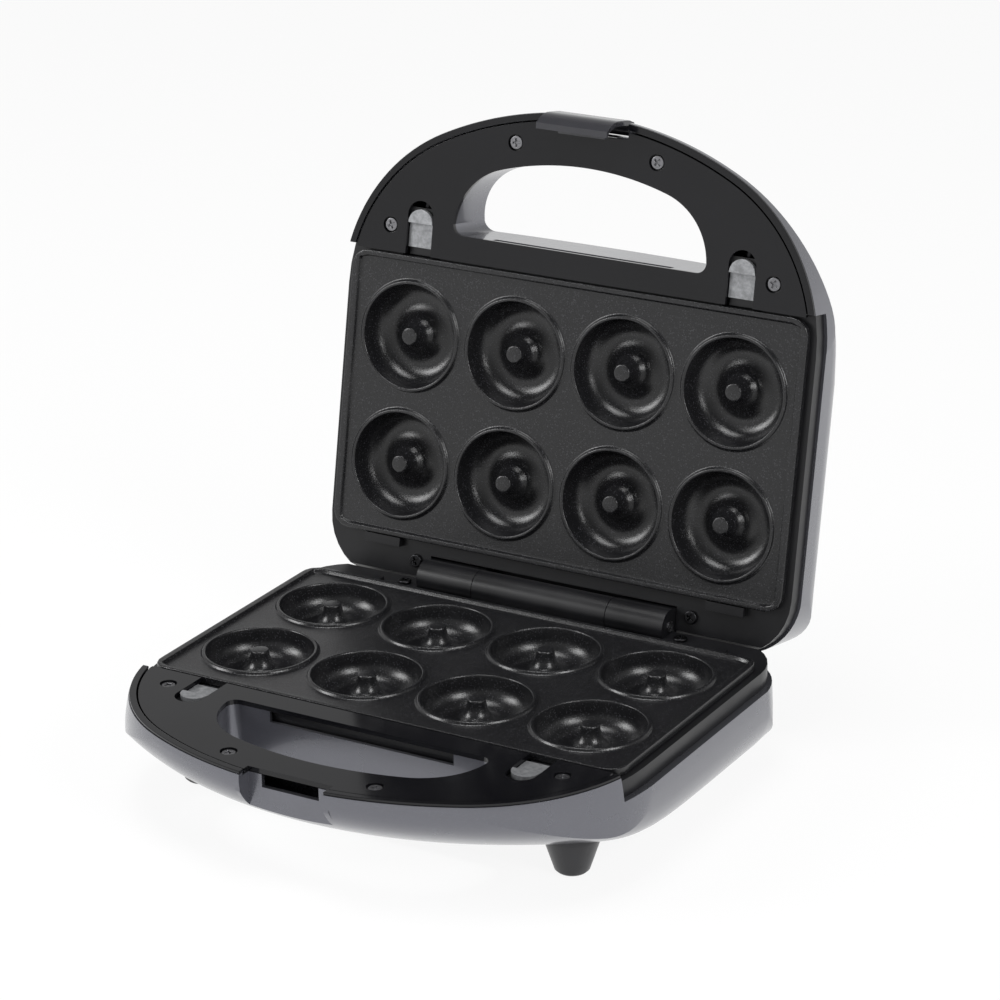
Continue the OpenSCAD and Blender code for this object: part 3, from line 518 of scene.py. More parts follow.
def shell(half, s, d, material):
    """One grey shell with its handle opening, notch and stepped rim."""
    piece = skin("shell", shell_rows(half, s))
    carve(piece, skin("inside", shell_rows(half, s, s.wall, s.floor_wall, INSIDE_TOP)))
    within = shell_rows(half, s, *WITHIN)

    opening = opening_run(s, d)
    deck_top = -d.drop
    rib_top = deck_top - d.thickness - SEAM
    tube = prism("tube", inset(opening, -d.opening_wall), TUBE_FOOT, rib_top)
    carve(tube, skin("keep", within), "INTERSECT")
    carve(piece, tube, "UNION")
    carve(piece, prism("hole", inset(opening, 0), HOLE_FOOT, ABOVE))
    back = -d.opening_back
    carve(piece, block("window", (-WINDOW[0], back - 0.0012, deck_top - WINDOW[1]),
                       (WINDOW[0], back + d.opening_wall + 0.001, ABOVE)))

    notch_back = -s.front_reach + s.notch_depth
    flank = s.notch_width / 2
    rib, rib_inset, rib_foot = NOTCH_RIB
    pad = block("pad", (-flank - rib, -s.front_reach + rib_inset, rib_foot),
                (flank + rib, notch_back + rib, rib_top))
    carve(pad, skin("keep", within), "INTERSECT")
    carve(piece, pad, "UNION")
    carve(piece, block("catch", (-CATCH[0], notch_back - 0.001, CATCH[1]),
                       (CATCH[0], notch_back + 0.004, CATCH[2])))
    carve(piece, block("notch", (-flank, -s.front_reach - 0.01, NOTCH_FLOOR[half]),
                       (flank, notch_back, ABOVE)))
    carve(piece, block("step", (-BESIDE, STEP, -s.step_depth), (BESIDE, BESIDE, ABOVE)))
    carve(piece, band_around(s, -0.004, s.band + 0.0004, -PARTING - s.band_height - SEAM, ABOVE))
    round_edges(piece, 0.0005, 40)
    smooth(piece, 30)
    piece.data.transform(PLACES[half])
    settle(piece, half + "_shell", half, "cover_grey", material, half + "_cover")


class MAKER_OT_shells(Operator):
    """Models the grey shells of the base and the lid"""

    bl_idname = "maker.shells"
    bl_label = "Shells"

    def execute(self, context):
        scene = context.scene
        for half in PLACES:
            shell(half, scene.maker_shell, scene.maker_deck, cover_lacquer())
        return {"FINISHED"}


# ---- Decks ------------------------------------------------------------------------------------
DECK_GAP = 0.0004                        # round the latch's notch
SEAT_DEPTH, SEAT_RADIUS = 0.0017, 0.0038


def slot_outline(side, d):
    radius = d.slot_width / 2
    centre = (side * d.slider_place, -d.slot_front + radius)
    bow = [(x, y) for x, y, _, _ in arc(*centre, radius, -pi, 0, 16)]
    return bow + [(centre[0] + radius, -0.05), (centre[0] - radius, -0.05)]


def deck(half, s, d, material):
    """One glossy deck with its slots, screw seats and handle opening."""
    rim = inset(rim_run(s), s.wall + 0.0007)
    back = -PLATE_FRONT - 0.0009
    outline = [(x, y) for x, y in rim if y < back]
    edge = max(x for x, y in outline)
    low, high = -d.drop - d.thickness, -d.drop
    front = sorted(outline, key=lambda p: atan2(p[0], -p[1]))
    piece = prism("deck", [(-edge, back)] + front + [(edge, back)], low, high)
    carve(piece, prism("hole", inset(opening_run(s, d), 0.0002), -ABOVE, ABOVE))
    notch = s.notch_width / 2 + DECK_GAP
    carve(piece, block("notch", (-notch, -BESIDE, -ABOVE),
                       (notch, -s.front_reach + s.notch_depth + DECK_GAP, ABOVE)))
    for side in (-1, 1):
        carve(piece, prism("slot", slot_outline(side, d), -ABOVE, ABOVE))
    for x, y in DECK_SCREWS:
        seat = (x, y, high - SEAT_DEPTH)
        carve(piece, rod("seat", seat, (x, y, high + 0.01), SEAT_RADIUS, 40))
    round_edges(piece, 0.00055, 40)
    smooth(piece)
    piece.data.transform(PLACES[half])
    settle(piece, half + "_deck_panel", half, "deck_gloss", material, half + "_deck")


def rim_band(half, s, material):
    """The black band along the rim, with a groove between it and the deck."""
    piece = band_around(s, 0.00005, s.band, -PARTING - s.band_height, -PARTING)
    flank = s.notch_width / 2
    notch_back = -s.front_reach + s.notch_depth
    carve(piece, block("notch", (-flank, -BESIDE, -ABOVE), (flank, notch_back, ABOVE)))
    round_edges(piece, 0.0003, 40)
    smooth(piece, 30)
    piece.data.transform(PLACES[half])
    settle(piece, half + "_rim_band", half, "deck_gloss", material)


class MAKER_OT_decks(Operator):
    """Models the glossy decks around the handle openings"""

    bl_idname = "maker.decks"
    bl_label = "Decks"

    def execute(self, context):
        scene = context.scene
        for half in PLACES:
            deck(half, scene.maker_shell, scene.maker_deck, deck_gloss())
            rim_band(half, scene.maker_shell, deck_gloss())
        return {"FINISHED"}


# ---- Plates -------------------------------------------------------------------------------------
RING = (15.2, -4.6, 8.6)                  # middle radius, height and radius of a moulded ring, mm
CUP_WALL = 2.0
AROUND = 96                               # facets round a cavity
CELLS = [(i - 1.5, j - 0.5) for i in range(4) for j in range(2)]


def ring_arc(radius, start, end, steps):
    mid, height, _ = RING
    turns = [radians(start + (end - start) * i / steps) for i in range(steps + 1)]
    return [(mid + radius * cos(a), height + radius * sin(a)) for a in turns]


def cavity_profile(field):
    """Radius and height, in mm, from the peg's top over the ring and the bead to the field."""
    peg = [(0, -0.45), (3.3, -0.45), (3.7, -0.52), (3.95, -0.75), (4.05, -1.3), (4.3, -3.0)]
    flare = [(4.75, -4.9), (5.5, -6.7), (6.5, -8.0)]
    ring = ring_arc(RING[2], -150, -6, 26)
    mouth = [(24.0, -3.2), (24.2, -1.9), (24.3, -0.9), (24.45, -0.5), (24.75, -0.32)]
    bead = [(25.4, -0.3), (25.75, -0.42), (26.0, -0.75), (26.25, -1.25), (26.6, field + 0.12)]
    return peg + flare + ring + mouth + bead + [(27.1, field)]


def cup_profile(under):
    """The outer side of a cavity's cup, from its middle out to the plate's underside."""
    ring = ring_arc(RING[2] + CUP_WALL, -150, 0, 14)
    return [(0, -9.8), (3, -9.8), (5.2, -9.8)] + ring + [(25.95, under - 0.25), (26.5, under)]


def spun_tile(profile, half_x, half_y):
    """A profile spun round the middle of a rectangular tile that it then spreads out to."""
    deselect()
    bpy.ops.mesh.primitive_circle_add(vertices=3, radius=1)
    piece = bpy.context.object
    mesh = edit(piece)
    bmesh.ops.delete(mesh, geom=list(mesh.verts), context="VERTS")
    points = [mesh.verts.new((radius * MM, 0, height * MM)) for radius, height in profile]
    for a, b in zip(points, points[1:]):
        mesh.edges.new((a, b))
    bmesh.update_edit_mesh(piece.data)
    bpy.ops.mesh.select_all(action="SELECT")
    bpy.ops.mesh.spin(steps=AROUND, angle=2 * pi, center=(0, 0, 0), axis=(0, 0, 1))
    weld_points()
    mesh = bmesh.from_edit_mesh(piece.data)
    rim = profile[-1][0] * MM
    bpy.ops.mesh.select_all(action="DESELECT")
    select_edges(mesh, lambda e: all(abs(v.co.xy.length - rim) < 1e-6 for v in e.verts))
    bpy.ops.mesh.extrude_region_move()
    mesh = bmesh.from_edit_mesh(piece.data)
    ring = [v for v in mesh.verts if v.select]
    for vertex in ring:
        direction = vertex.co.xy.normalized()
        reach = min(half_x / max(abs(direction.x), 1e-9), half_y / max(abs(direction.y), 1e-9))
        vertex.co.xy = direction * reach
    for sign_x in (-1, 1):
        for sign_y in (-1, 1):
            corner = Vector((sign_x * half_x, sign_y * half_y))
            nearest = min(ring, key=lambda v: (v.co.xy - corner).length)
            nearest.co.xy = corner
    done(piece)
    return piece


def tiled(profile, p, flip):
    """Eight tiles side by side, welded into one sheet."""
    tile = spun_tile(profile, p.pitch_x / 2, p.pitch_y / 2)
    tiles = []
    for column, row in CELLS:
        copy = twin(tile)
        copy.data.transform(Matrix.Translation((column * p.pitch_x, row * p.pitch_y, 0)))
        tiles.append(copy)
    bpy.data.objects.remove(tile)
    sheet = join(tiles)
    edit(sheet)
    weld_points(COPY_WELD)
    face_outward()
    mesh = bmesh.from_edit_mesh(sheet.data)
    up = sum(f.normal.z * f.calc_area() for f in mesh.faces) > 0
    if up == flip:
        bpy.ops.mesh.flip_normals()
    done(sheet)
    return sheet


def on_rounded_rect(point, old, new):
    """Moves a point of one rounded rectangle out to the next: half width, front, rear, radius."""
    old_x, old_front, old_rear = old[:3]
    new_x, new_front, new_rear, radius = new
    u = point.x / old_x
    v = (2 * point.y - old_front - old_rear) / (old_rear - old_front)
    scale = 1 / max(abs(u), abs(v))
    x = u * scale * new_x
    y = (new_front + new_rear + v * scale * (new_rear - new_front)) / 2
    centre_x = max(-new_x + radius, min(new_x - radius, x))
    centre_y = max(new_front + radius, min(new_rear - radius, y))
    away = Vector((x - centre_x, y - centre_y))
    if abs(away.x) > 1e-7 and abs(away.y) > 1e-7:
        away = away.normalized() * radius
    return centre_x + away.x, centre_y + away.y


def plate(half, p, material):
    """One baking plate: eight cavities, the raised lip and the cups' undersides."""
    field, under = p.field * 1000, 3.95
    top = tiled(cavity_profile(-field), p, False)
    bottom = tiled(cup_profile(-under), p, True)
    lip = p.lip * 1000
    half_x, front, rear = PLATE_HALF * 1000, -PLATE_FRONT * 1000, PLATE_REAR * 1000
    sheet = (2 * p.pitch_x * 1000, -p.pitch_y * 1000, p.pitch_y * 1000)
    inner = (half_x - lip, front + 3.2, rear - 3.2)
    rows = [
        (inner, 0, 2.5, -field),
        (inner, 0.25, 2.7, -field + 0.12),
        (inner, 0.75, 3.2, -0.55),
        (inner, 0.95, 3.4, -0.26),
        (inner, 1.25, 3.7, -0.15),
        ((half_x, front, rear), -0.5, 7.5, -0.15),
        ((half_x, front, rear), -0.15, 7.85, -0.28),
        ((half_x, front, rear), 0, 8, -0.6),
        ((half_x, front, rear), 0, 8, -3.65),
        ((half_x, front, rear), -0.3, 7.7, -under),
        (inner, 0, 2.5, -under),
        (sheet, 0, 0.001, -under),
    ]
    mesh = edit(top)
    select_edges(mesh, lambda e: e.is_boundary)
    old = sheet
    for (x, y0, y1), grow, radius, height in rows:
        new = (x + grow, y0 - grow, y1 + grow, radius)
        bpy.ops.mesh.extrude_region_move()
        mesh = bmesh.from_edit_mesh(top.data)
        for vertex in [v for v in mesh.verts if v.select]:
            spot = on_rounded_rect(vertex.co.xy * 1000, old, new)
            vertex.co = (spot[0] * MM, spot[1] * MM, height * MM)
        bmesh.update_edit_mesh(top.data)
        old = new
    done(top)
    piece = join([top, bottom])
    edit(piece)
    weld_points(SHEET_WELD)
    face_outward()
    done(piece)
    smooth(piece, 50)
    piece.data.transform(PLACES[half])
    settle(piece, half + "_baking_plate", half, "plate_coating", material, half + "_plate")


class MAKER_OT_plates(Operator):
    """Models the two coated baking plates"""

    bl_idname = "maker.plates"
    bl_label = "Baking plates"

    def execute(self, context):
        for half in PLACES:
            plate(half, context.scene.maker_plate, plate_coating())
        return {"FINISHED"}


# ---- Frames, sliders, latch, feet and small parts ----------------------------------------------
class MAKER_OT_frames(Operator):
    """Rounds and finishes the black inner frames with their hinge barrels"""

    bl_idname = "maker.frames"
    bl_label = "Frames"

    def execute(self, context):
        for half in PLACES:
            piece = dressed_copy(half + "_frame", 0.0004)
            settle(piece, half + "_inner_frame", half, "frame_black", frame_satin(), half + "_frame")
        return {"FINISHED"}


SLIDERS = ("base_left", "base_right", "lid_left", "lid_right")
FLANGE_SHADE_TOP = -0.0029                     # below it a slider's faces are painted black as the shade in its recess


class MAKER_OT_sliders(Operator):
    """Rounds and finishes the four release sliders, with painted shade on their flanges"""

    bl_idname = "maker.sliders"
    bl_label = "Release sliders"

    def execute(self, context):
        for place in SLIDERS:
            node = place + "_slider"
            to_closed = PLACES[place.split("_")[0]].inverted()
            piece = dressed_copy(node, 0.0003)
            settle(piece, place + "_release", node, "slider_grey", slider_cast(), node)
            # Painted shade: the faces under the flange's top take the black frame finish to stand for the
            # shade in the slot's recess, though the slider itself is grey there
            piece.data.materials.append(frame_satin())
            mesh = edit(piece)
            select_faces(mesh, lambda f: (to_closed @ f.calc_center_median()).z < FLANGE_SHADE_TOP)
            piece.active_material_index = 1
            bpy.ops.object.material_slot_assign()
            done(piece)
        return {"FINISHED"}


def cross_screw(head_radius, head_height, shank):
    """A pan head screw with a cross recess, its head standing on Z = 0."""
    head = rod("screw", (0, 0, 0), (0, 0, head_height), head_radius, 32)
    round_edges(head, head_height * 0.42, 60, 3)
    arm, reach = head_radius * 0.15, head_radius * 0.6
    for turn in (0, 1):
        x, y = (reach, arm) if turn else (arm, reach)
        carve(head, block("arm", (-x, -y, head_height * 0.3), (x, y, head_height * 2)))
    carve(head, rod("pit", (0, 0, head_height * 0.15), (0, 0, head_height * 2), arm * 1.9, 16))
    round_edges(head, 0.00006, 50, 1)
    piece = join([head, rod("shank", (0, 0, -shank), (0, 0, 0.0002), head_radius * 0.45, 16)])
    smooth(piece)
    return piece


class MAKER_OT_screws(Operator):
    """Models one cross-recessed screw and sets it in every screw seat"""

    bl_idname = "maker.screws"
    bl_label = "Screws"

    def execute(self, context):
        seat = -context.scene.maker_deck.drop - SEAT_DEPTH
        frame_seat = -PARTING - FRAME_SEAT_DEPTH
        # Places, height of the seat, height of the head, length of the shank and finish
        kinds = {
            "deck_screws": (DECK_SCREWS, seat, 0.0011, 0.008, screw_steel()),
            "frame_screws": (FRAME_SCREWS, frame_seat, 0.0016, 0.020, blackened_steel()),
        }
        for kind, (places, height, head, shank, finish) in kinds.items():
            model = cross_screw(SCREW_HEAD, head, shank)
            for half, to_row in PLACES.items():
                copies = []
                for index, (x, y) in enumerate(places):
                    copy = twin(model)
                    turn = Matrix.Rotation(radians(25 + 38 * index), 4, "Z")
                    copy.data.transform(to_row @ Matrix.Translation((x, y, height)) @ turn)
                    copies.append(copy)
                piece = join(copies)
                node = f"{half}_{kind}"
                settle(piece, f"{half}_cross_{kind}", half, "bright_steel", finish, node)
            bpy.data.objects.remove(model)
        return {"FINISHED"}


class MAKER_OT_latch(Operator):
    """Rounds and finishes the latch at the lid's front edge"""

    bl_idname = "maker.latch"
    bl_label = "Latch"

    def execute(self, context):
        piece = dressed_copy("latch", 0.0005)
        settle(piece, "front_latch", "latch", "cover_grey", latch_gloss(), "latch")
        return {"FINISHED"}


class MAKER_OT_feet(Operator):
    """Rounds and finishes the feet and the cord inlet"""

    bl_idname = "maker.feet"
    bl_label = "Feet and cord inlet"

    def execute(self, context):
        for node in ("front_feet", "rear_feet", "cord_gland"):
            piece = dressed_copy(node, 0.0005)
            settle(piece, node + "_moulded", "base", "foot_rubber", moulded_rubber(), node)
        return {"FINISHED"}


class MAKER_OT_inner_parts(Operator):
    """Gives the parts inside, the pins and the lamp lenses their finishes"""

    bl_idname = "maker.inner_parts"
    bl_label = "Inner parts and lenses"

    def execute(self, context):
        finishes_of_nodes = (
            (pin_steel(), ("hinge_pin", "latch_pin", "latch_spring", "base_thermostat", "lid_thermal_fuse")),
            (blackened_steel(), ("base_slider_springs", "lid_slider_springs")),
            (reflector_sheet(), ("base_reflector", "lid_reflector", "base_heater_clips", "lid_heater_clips")),
            (heater_tube(), ("base_heater", "lid_heater")),
            (ivory_moulding(), ("terminal_block",)),
            (solder_mask(), ("lamp_board",)),
            (lens_plastic("red", (0.62, 0.03, 0.02)), ("power_lens",)),
            (lens_plastic("green", (0.04, 0.42, 0.08)), ("ready_lens",)),
        )
        for material, nodes in finishes_of_nodes:
            for node in nodes:
                materials = frame["nodes"][node].data.materials
                materials.clear()
                materials.append(material)
        return {"FINISHED"}


# ---- Shader groups ---------------------------------------------------------------------------
def group(name, inputs, outputs):
    """A new shader group with float inputs and outputs, and its two end nodes."""
    tree = bpy.data.node_groups.new(name, "ShaderNodeTree")
    for label, default in inputs.items():
        socket = tree.interface.new_socket(label, in_out="INPUT", socket_type="NodeSocketFloat")
        socket.default_value = default
    for label in outputs:
        tree.interface.new_socket(label, in_out="OUTPUT", socket_type="NodeSocketFloat")
    return tree, tree.nodes.new("NodeGroupInput"), tree.nodes.new("NodeGroupOutput")


def give(node, values):
    """Sets a node's inputs that stay constant."""
    for label, value in values.items():
        node.inputs[label].default_value = value


def noise(tree, vector, scale, detail=2.0, roughness=0.5):
    node = tree.nodes.new("ShaderNodeTexNoise")
    give(node, {"Detail": detail, "Roughness": roughness})
    if isinstance(scale, (int, float)):
        node.inputs["Scale"].default_value = scale
    else:
        tree.links.new(scale, node.inputs["Scale"])
    tree.links.new(vector, node.inputs["Vector"])
    return node.outputs["Fac"]


def spread(tree, value, low, high, out_low=0.0, out_high=1.0):
    """Stretches a band of values over another one."""
    node = tree.nodes.new("ShaderNodeMapRange")
    give(node, {"From Min": low, "From Max": high, "To Min": out_low, "To Max": out_high})
    tree.links.new(value, node.inputs["Value"])
    return node.outputs["Result"]


def object_coordinates(tree):
    return tree.nodes.new("ShaderNodeTexCoord").outputs["Object"]


def grain_group():
    """Fine grain: a height for bump and a mask of single bright flecks."""
    if "Fine grain" in bpy.data.node_groups:
        return bpy.data.node_groups["Fine grain"]
    tree, given, result = group("Fine grain", {"Scale": 2000.0}, ("Height", "Flecks"))
    place = object_coordinates(tree)
    fine = noise(tree, place, given.outputs["Scale"], 1.5, 0.6)
    cells = tree.nodes.new("ShaderNodeTexVoronoi")
    tree.links.new(place, cells.inputs["Vector"])
    tree.links.new(given.outputs["Scale"], cells.inputs["Scale"])
    pick_cells = tree.nodes.new("ShaderNodeSeparateColor")
    tree.links.new(cells.outputs["Color"], pick_cells.inputs["Color"])
    tree.links.new(spread(tree, fine, 0.3, 0.7), result.inputs["Height"])
    tree.links.new(spread(tree, pick_cells.outputs["Red"], 0.9, 0.98), result.inputs["Flecks"])
    return tree


def handling_group():
    """Faint haze and smudges from handling, as a share of one."""
    if "Handling" in bpy.data.node_groups:
        return bpy.data.node_groups["Handling"]
    tree, given, result = group("Handling", {"Scale": 22.0}, ("Haze",))
    place = object_coordinates(tree)
    broad = noise(tree, place, given.outputs["Scale"], 5, 0.62)
    tree.links.new(spread(tree, broad, 0.35, 0.72), result.inputs["Haze"])
    return tree


def placed_group(tree, source, **values):
    node = tree.nodes.new("ShaderNodeGroup")
    node.node_tree = source
    give(node, values)
    return node


# ---- Materials ---------------------------------------------------------------------------------
def finish_start(name):
    """A new material and its shader, or the finished one that is there already."""
    if name in bpy.data.materials:
        return bpy.data.materials[name], None, None
    material = bpy.data.materials.new(name)
    material.use_nodes = True
    tree = material.node_tree
    return material, tree, tree.nodes["Principled BSDF"]


def mix_colours(tree, mask, first, second):
    node = tree.nodes.new("ShaderNodeMix")
    node.data_type = "RGBA"
    give(node, {"A": (*first, 1), "B": (*second, 1)})
    tree.links.new(mask, node.inputs["Factor"])
    return node.outputs["Result"]


def bump(tree, height, strength, distance, shader):
    node = tree.nodes.new("ShaderNodeBump")
    give(node, {"Strength": strength, "Distance": distance})
    tree.links.new(height, node.inputs["Height"])
    tree.links.new(node.outputs["Normal"], shader.inputs["Normal"])


def shade(base, factor):
    return tuple(min(1.0, channel * factor) for channel in base)


def finishes():
    return bpy.context.scene.maker_finish


def hazed(tree, shader, base, lighter, scale, low, high):
    """A colour and a roughness that both vary with the haze from handling."""
    haze = placed_group(tree, handling_group(), Scale=scale).outputs["Haze"]
    tree.links.new(mix_colours(tree, haze, base, shade(base, lighter)), shader.inputs["Base Color"])
    tree.links.new(spread(tree, haze, 0, 1, low, high), shader.inputs["Roughness"])


def flecked(tree, shader, base, brighter, grain, scale, low, high):
    """A colour with bright flecks of the grain, and a roughness that varies with the haze."""
    haze = placed_group(tree, handling_group(), Scale=scale).outputs["Haze"]
    flecks = grain.outputs["Flecks"]
    tree.links.new(mix_colours(tree, flecks, base, shade(base, brighter)), shader.inputs["Base Color"])
    tree.links.new(spread(tree, haze, 0, 1, low, high), shader.inputs["Roughness"])


def cover_lacquer():
    """Grey metallic lacquer: fine flakes under a clear gloss."""
    material, tree, shader = finish_start("cover_lacquer")
    if tree:
        grain = placed_group(tree, grain_group(), Scale=6500.0)
        flecked(tree, shader, tuple(finishes().cover), 1.25, grain, 18.0, 0.26, 0.30)
        give(shader, {"Metallic": 0.8, "Coat Weight": 0.5, "Coat Roughness": 0.06})
    return material


def deck_gloss():
    """Polished black plastic with a breath of haze."""
    material, tree, shader = finish_start("deck_gloss_black")
    if tree:
        hazed(tree, shader, tuple(finishes().deck), 1.4, 16.0, 0.09, 0.12)
        give(shader, {"Specular IOR Level": 0.4})
    return material


def frame_satin():
    """Satin black moulding."""
    material, tree, shader = finish_start("frame_satin_black")
    if tree:
        grain = placed_group(tree, grain_group(), Scale=3800.0)
        hazed(tree, shader, tuple(finishes().frame), 1.5, 30.0, 0.30, 0.42)
        give(shader, {"Specular IOR Level": 0.4})
        bump(tree, grain.outputs["Height"], 0.15, 0.00002, shader)
    return material


def plate_coating():
    """Dark non-stick coating with a fine grain and bright flecks."""
    material, tree, shader = finish_start("plate_coating_dark")
    if tree:
        grain = placed_group(tree, grain_group(), Scale=2300.0)
        flecked(tree, shader, tuple(finishes().coating), 4.0, grain, 14.0, 0.21, 0.26)
        bump(tree, grain.outputs["Height"], 0.5, 0.00006, shader)
    return material


def slider_cast():
    """Cast grey metal with soft mottling."""
    material, tree, shader = finish_start("slider_cast_grey")
    if tree:
        base = tuple(finishes().slider)
        haze = placed_group(tree, handling_group(), Scale=420.0)
        grain = placed_group(tree, grain_group(), Scale=2600.0)
        tree.links.new(mix_colours(tree, haze.outputs["Haze"], shade(base, 0.75), shade(base, 1.35)),
                       shader.inputs["Base Color"])
        give(shader, {"Metallic": 0.55, "Roughness": 0.42})
        bump(tree, grain.outputs["Height"], 0.3, 0.00004, shader)
    return material


def latch_gloss():
    """Dark grey polished moulding."""
    return plain_moulding("latch_gloss_grey", tuple(finishes().latch), 0.12, 0.2)


def moulded_rubber():
    """Dark moulded rubber."""
    material, tree, shader = finish_start("foot_rubber_dark")
    if tree:
        hazed(tree, shader, tuple(finishes().rubber), 1.7, 60.0, 0.28, 0.42)
    return material


def metal(name, base, low, high, scale, stretch=1.0):
    """Bare metal whose roughness varies along a brushing, drawn out along X by the stretch."""
    material, tree, shader = finish_start(name)
    if tree:
        mapping = tree.nodes.new("ShaderNodeMapping")
        give(mapping, {"Scale": (stretch, 1, 1)})
        tree.links.new(object_coordinates(tree), mapping.inputs["Vector"])
        streaks = noise(tree, mapping.outputs["Vector"], scale, 4, 0.6)
        tree.links.new(mix_colours(tree, streaks, shade(base, 0.85), shade(base, 1.15)),
                       shader.inputs["Base Color"])
        tree.links.new(spread(tree, streaks, 0.3, 0.7, low, high), shader.inputs["Roughness"])
        give(shader, {"Metallic": 1.0})
    return material


def screw_steel():
    return metal("screw_zinc_grey", (0.20, 0.20, 0.21), 0.3, 0.42, 900.0)


def blackened_steel():
    return metal("steel_blackened", (0.03, 0.03, 0.032), 0.3, 0.42, 900.0)


def pin_steel():
    return metal("pin_steel", (0.56, 0.56, 0.58), 0.2, 0.34, 600.0, 0.2)


def reflector_sheet():
    return metal("reflector_sheet_bright", (0.74, 0.74, 0.76), 0.18, 0.3, 300.0, 0.05)


def heater_tube():
    return metal("heater_tube_annealed", (0.30, 0.27, 0.24), 0.3, 0.5, 400.0, 0.3)


def plain_moulding(name, base, low, high):
    """Plain moulded plastic with slight unevenness."""
    material, tree, shader = finish_start(name)
    if tree:
        hazed(tree, shader, base, 1.12, 90.0, low, high)
    return material


def ivory_moulding():
    return plain_moulding("terminal_ivory", (0.68, 0.66, 0.58), 0.35, 0.5)


def solder_mask():
    return plain_moulding("board_green", (0.02, 0.12, 0.05), 0.25, 0.4)


def lens_plastic(name, base):
    return plain_moulding("lens_" + name, base, 0.08, 0.16)


# ---- Studio -----------------------------------------------------------------------------------
CAMERA_PLACE = Vector((0.7662, -1.2806, 0.6987))
CAMERA_AZIMUTH, CAMERA_ELEVATION, CAMERA_ROLL = radians(30.162), radians(20.968), radians(-0.7)
CAMERA_LENS = 132.1
# Name, place, size, strength in watts
SOFTBOXES = (
    ("left_softbox", (-1.3, -0.9, 0.9), (0.7, 0.7), 16),
    ("right_softbox", (1.4, -0.5, 1.0), (0.6, 0.6), 13),
    ("top_softbox", (-0.1, -0.2, 1.7), (0.9, 0.6), 13),
)
WORLD_FILL = 0.3
# Height of a direction where the surroundings start and end to darken, and the strengths there
WORLD_FADE = (0.1, 0.75, 1.0, 0.12)
PAPER_GLOW = 0.9             # share of the paper that is plain white; the rest holds the shadow
AIM = Vector((0, 0, 0.09))


def add_camera():
    data = bpy.data.cameras.new("photo_camera")
    camera = bpy.data.objects.new("photo_camera", data)
    bpy.context.scene.collection.objects.link(camera)
    azimuth, elevation = CAMERA_AZIMUTH, CAMERA_ELEVATION
    back = Vector((sin(azimuth) * cos(elevation), -cos(azimuth) * cos(elevation), sin(elevation)))
    right = Vector((cos(azimuth), sin(azimuth), 0))
    up = back.cross(right)
    turned_right = right * cos(CAMERA_ROLL) + up * sin(CAMERA_ROLL)
    turned_up = up * cos(CAMERA_ROLL) - right * sin(CAMERA_ROLL)
    camera.matrix_world = Matrix.Translation(CAMERA_PLACE) @ Matrix(
        (turned_right, turned_up, back)).transposed().to_4x4()
    data.lens = CAMERA_LENS
    data.sensor_width = 36
    data.clip_end = 50
    bpy.context.scene.camera = camera


def add_softbox(name, place, size, watts):
    data = bpy.data.lights.new(name, "AREA")
    data.shape = "RECTANGLE"
    data.size, data.size_y = size
    data.energy = watts
    lamp = bpy.data.objects.new(name, data)
    bpy.context.scene.collection.objects.link(lamp)
    lamp.location = place
    lamp.rotation_mode = "QUATERNION"
    lamp.rotation_quaternion = (AIM - Vector(place)).to_track_quat("-Z", "Y")


def seen_directly(tree):
    """One where a ray comes from the camera, a reflection or a clear material."""
    path = tree.nodes.new("ShaderNodeLightPath")
    value = path.outputs["Is Camera Ray"]
    for label in ("Is Glossy Ray", "Is Transmission Ray"):
        node = tree.nodes.new("ShaderNodeMath")
        node.operation = "MAXIMUM"
        tree.links.new(value, node.inputs[0])
        tree.links.new(path.outputs[label], node.inputs[1])
        value = node.outputs[0]
    return value


def paper_material():
    """White paper that keeps the soft shadow."""
    material, tree, shader = finish_start("studio_paper")
    if tree:
        give(shader, {"Base Color": (*finishes().floor, 1), "Roughness": 0.55})
        glow = tree.nodes.new("ShaderNodeEmission")
        share = tree.nodes.new("ShaderNodeMath")
        share.operation = "MULTIPLY"
        share.inputs[1].default_value = PAPER_GLOW
        tree.links.new(seen_directly(tree), share.inputs[0])
        mix = tree.nodes.new("ShaderNodeMixShader")
        tree.links.new(share.outputs[0], mix.inputs["Fac"])
        tree.links.new(shader.outputs["BSDF"], mix.inputs[1])
        tree.links.new(glow.outputs["Emission"], mix.inputs[2])
        tree.links.new(mix.outputs["Shader"], tree.nodes["Material Output"].inputs["Surface"])
    return material


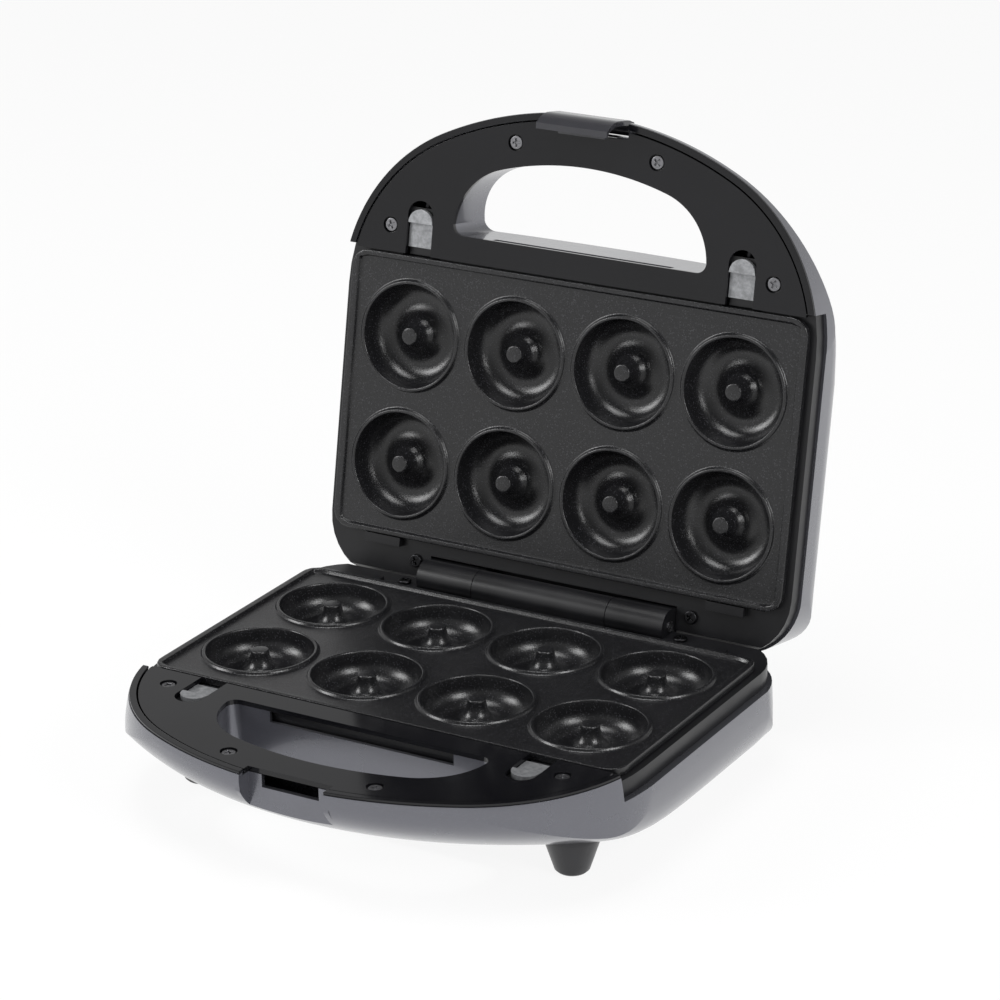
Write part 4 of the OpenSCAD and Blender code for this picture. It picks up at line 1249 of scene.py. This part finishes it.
def add_world():
    """White surroundings that darken overhead, and a softer fill."""
    world = bpy.data.worlds.new("studio")
    bpy.context.scene.world = world
    world.use_nodes = True
    tree = world.node_tree
    fill = tree.nodes["Background"]
    give(fill, {"Color": (1, 1, 1, 1), "Strength": WORLD_FILL})
    direction = tree.nodes.new("ShaderNodeSeparateXYZ")
    tree.links.new(tree.nodes.new("ShaderNodeTexCoord").outputs["Generated"], direction.inputs["Vector"])
    walls = tree.nodes.new("ShaderNodeBackground")
    tree.links.new(spread(tree, direction.outputs["Z"], *WORLD_FADE), walls.inputs["Strength"])
    mix = tree.nodes.new("ShaderNodeMixShader")
    tree.links.new(seen_directly(tree), mix.inputs["Fac"])
    tree.links.new(fill.outputs[0], mix.inputs[1])
    tree.links.new(walls.outputs[0], mix.inputs[2])
    tree.links.new(mix.outputs[0], tree.nodes["World Output"].inputs["Surface"])


class MAKER_OT_studio(Operator):
    """Sets up the camera, the paper floor, the softboxes and the white surroundings"""

    bl_idname = "maker.studio"
    bl_label = "Studio"

    def execute(self, context):
        context.scene.view_settings.view_transform = "Standard"
        add_camera()
        for softbox in SOFTBOXES:
            add_softbox(*softbox)
        add_world()
        deselect()
        bpy.ops.mesh.primitive_plane_add(size=30)
        floor = context.object
        floor.name = "floor"
        floor.data.materials.append(paper_material())
        return {"FINISHED"}


# ---- Panel and registration --------------------------------------------------------------------
OPERATORS = (
    MAKER_OT_studio,
    MAKER_OT_shells,
    MAKER_OT_decks,
    MAKER_OT_plates,
    MAKER_OT_frames,
    MAKER_OT_sliders,
    MAKER_OT_screws,
    MAKER_OT_latch,
    MAKER_OT_feet,
    MAKER_OT_inner_parts,
)


class MAKER_PT_panel(Panel):
    """Lists the sizes, the finishes and the pieces of the doughnut maker"""

    bl_label = "Doughnut maker"
    bl_idname = "MAKER_PT_panel"
    bl_space_type = "VIEW_3D"
    bl_region_type = "UI"
    bl_category = "Doughnut maker"

    def draw(self, context):
        for attribute, kind in GROUPS.items():
            box = self.layout.box()
            for label in kind.__annotations__:
                box.prop(getattr(context.scene, attribute), label)
        for operator in OPERATORS:
            self.layout.operator(operator.bl_idname)


def register():
    for kind in (*GROUPS.values(), *OPERATORS, MAKER_PT_panel):
        bpy.utils.register_class(kind)
    for attribute, kind in GROUPS.items():
        setattr(bpy.types.Scene, attribute, bpy.props.PointerProperty(type=kind))


def unregister():
    for attribute in GROUPS:
        delattr(bpy.types.Scene, attribute)
    for kind in reversed((*GROUPS.values(), *OPERATORS, MAKER_PT_panel)):
        bpy.utils.unregister_class(kind)


def main():
    register()
    for operator in OPERATORS:
        group_name, action = operator.bl_idname.split(".")
        getattr(getattr(bpy.ops, group_name), action)()


if __name__ == "__main__":
    main()
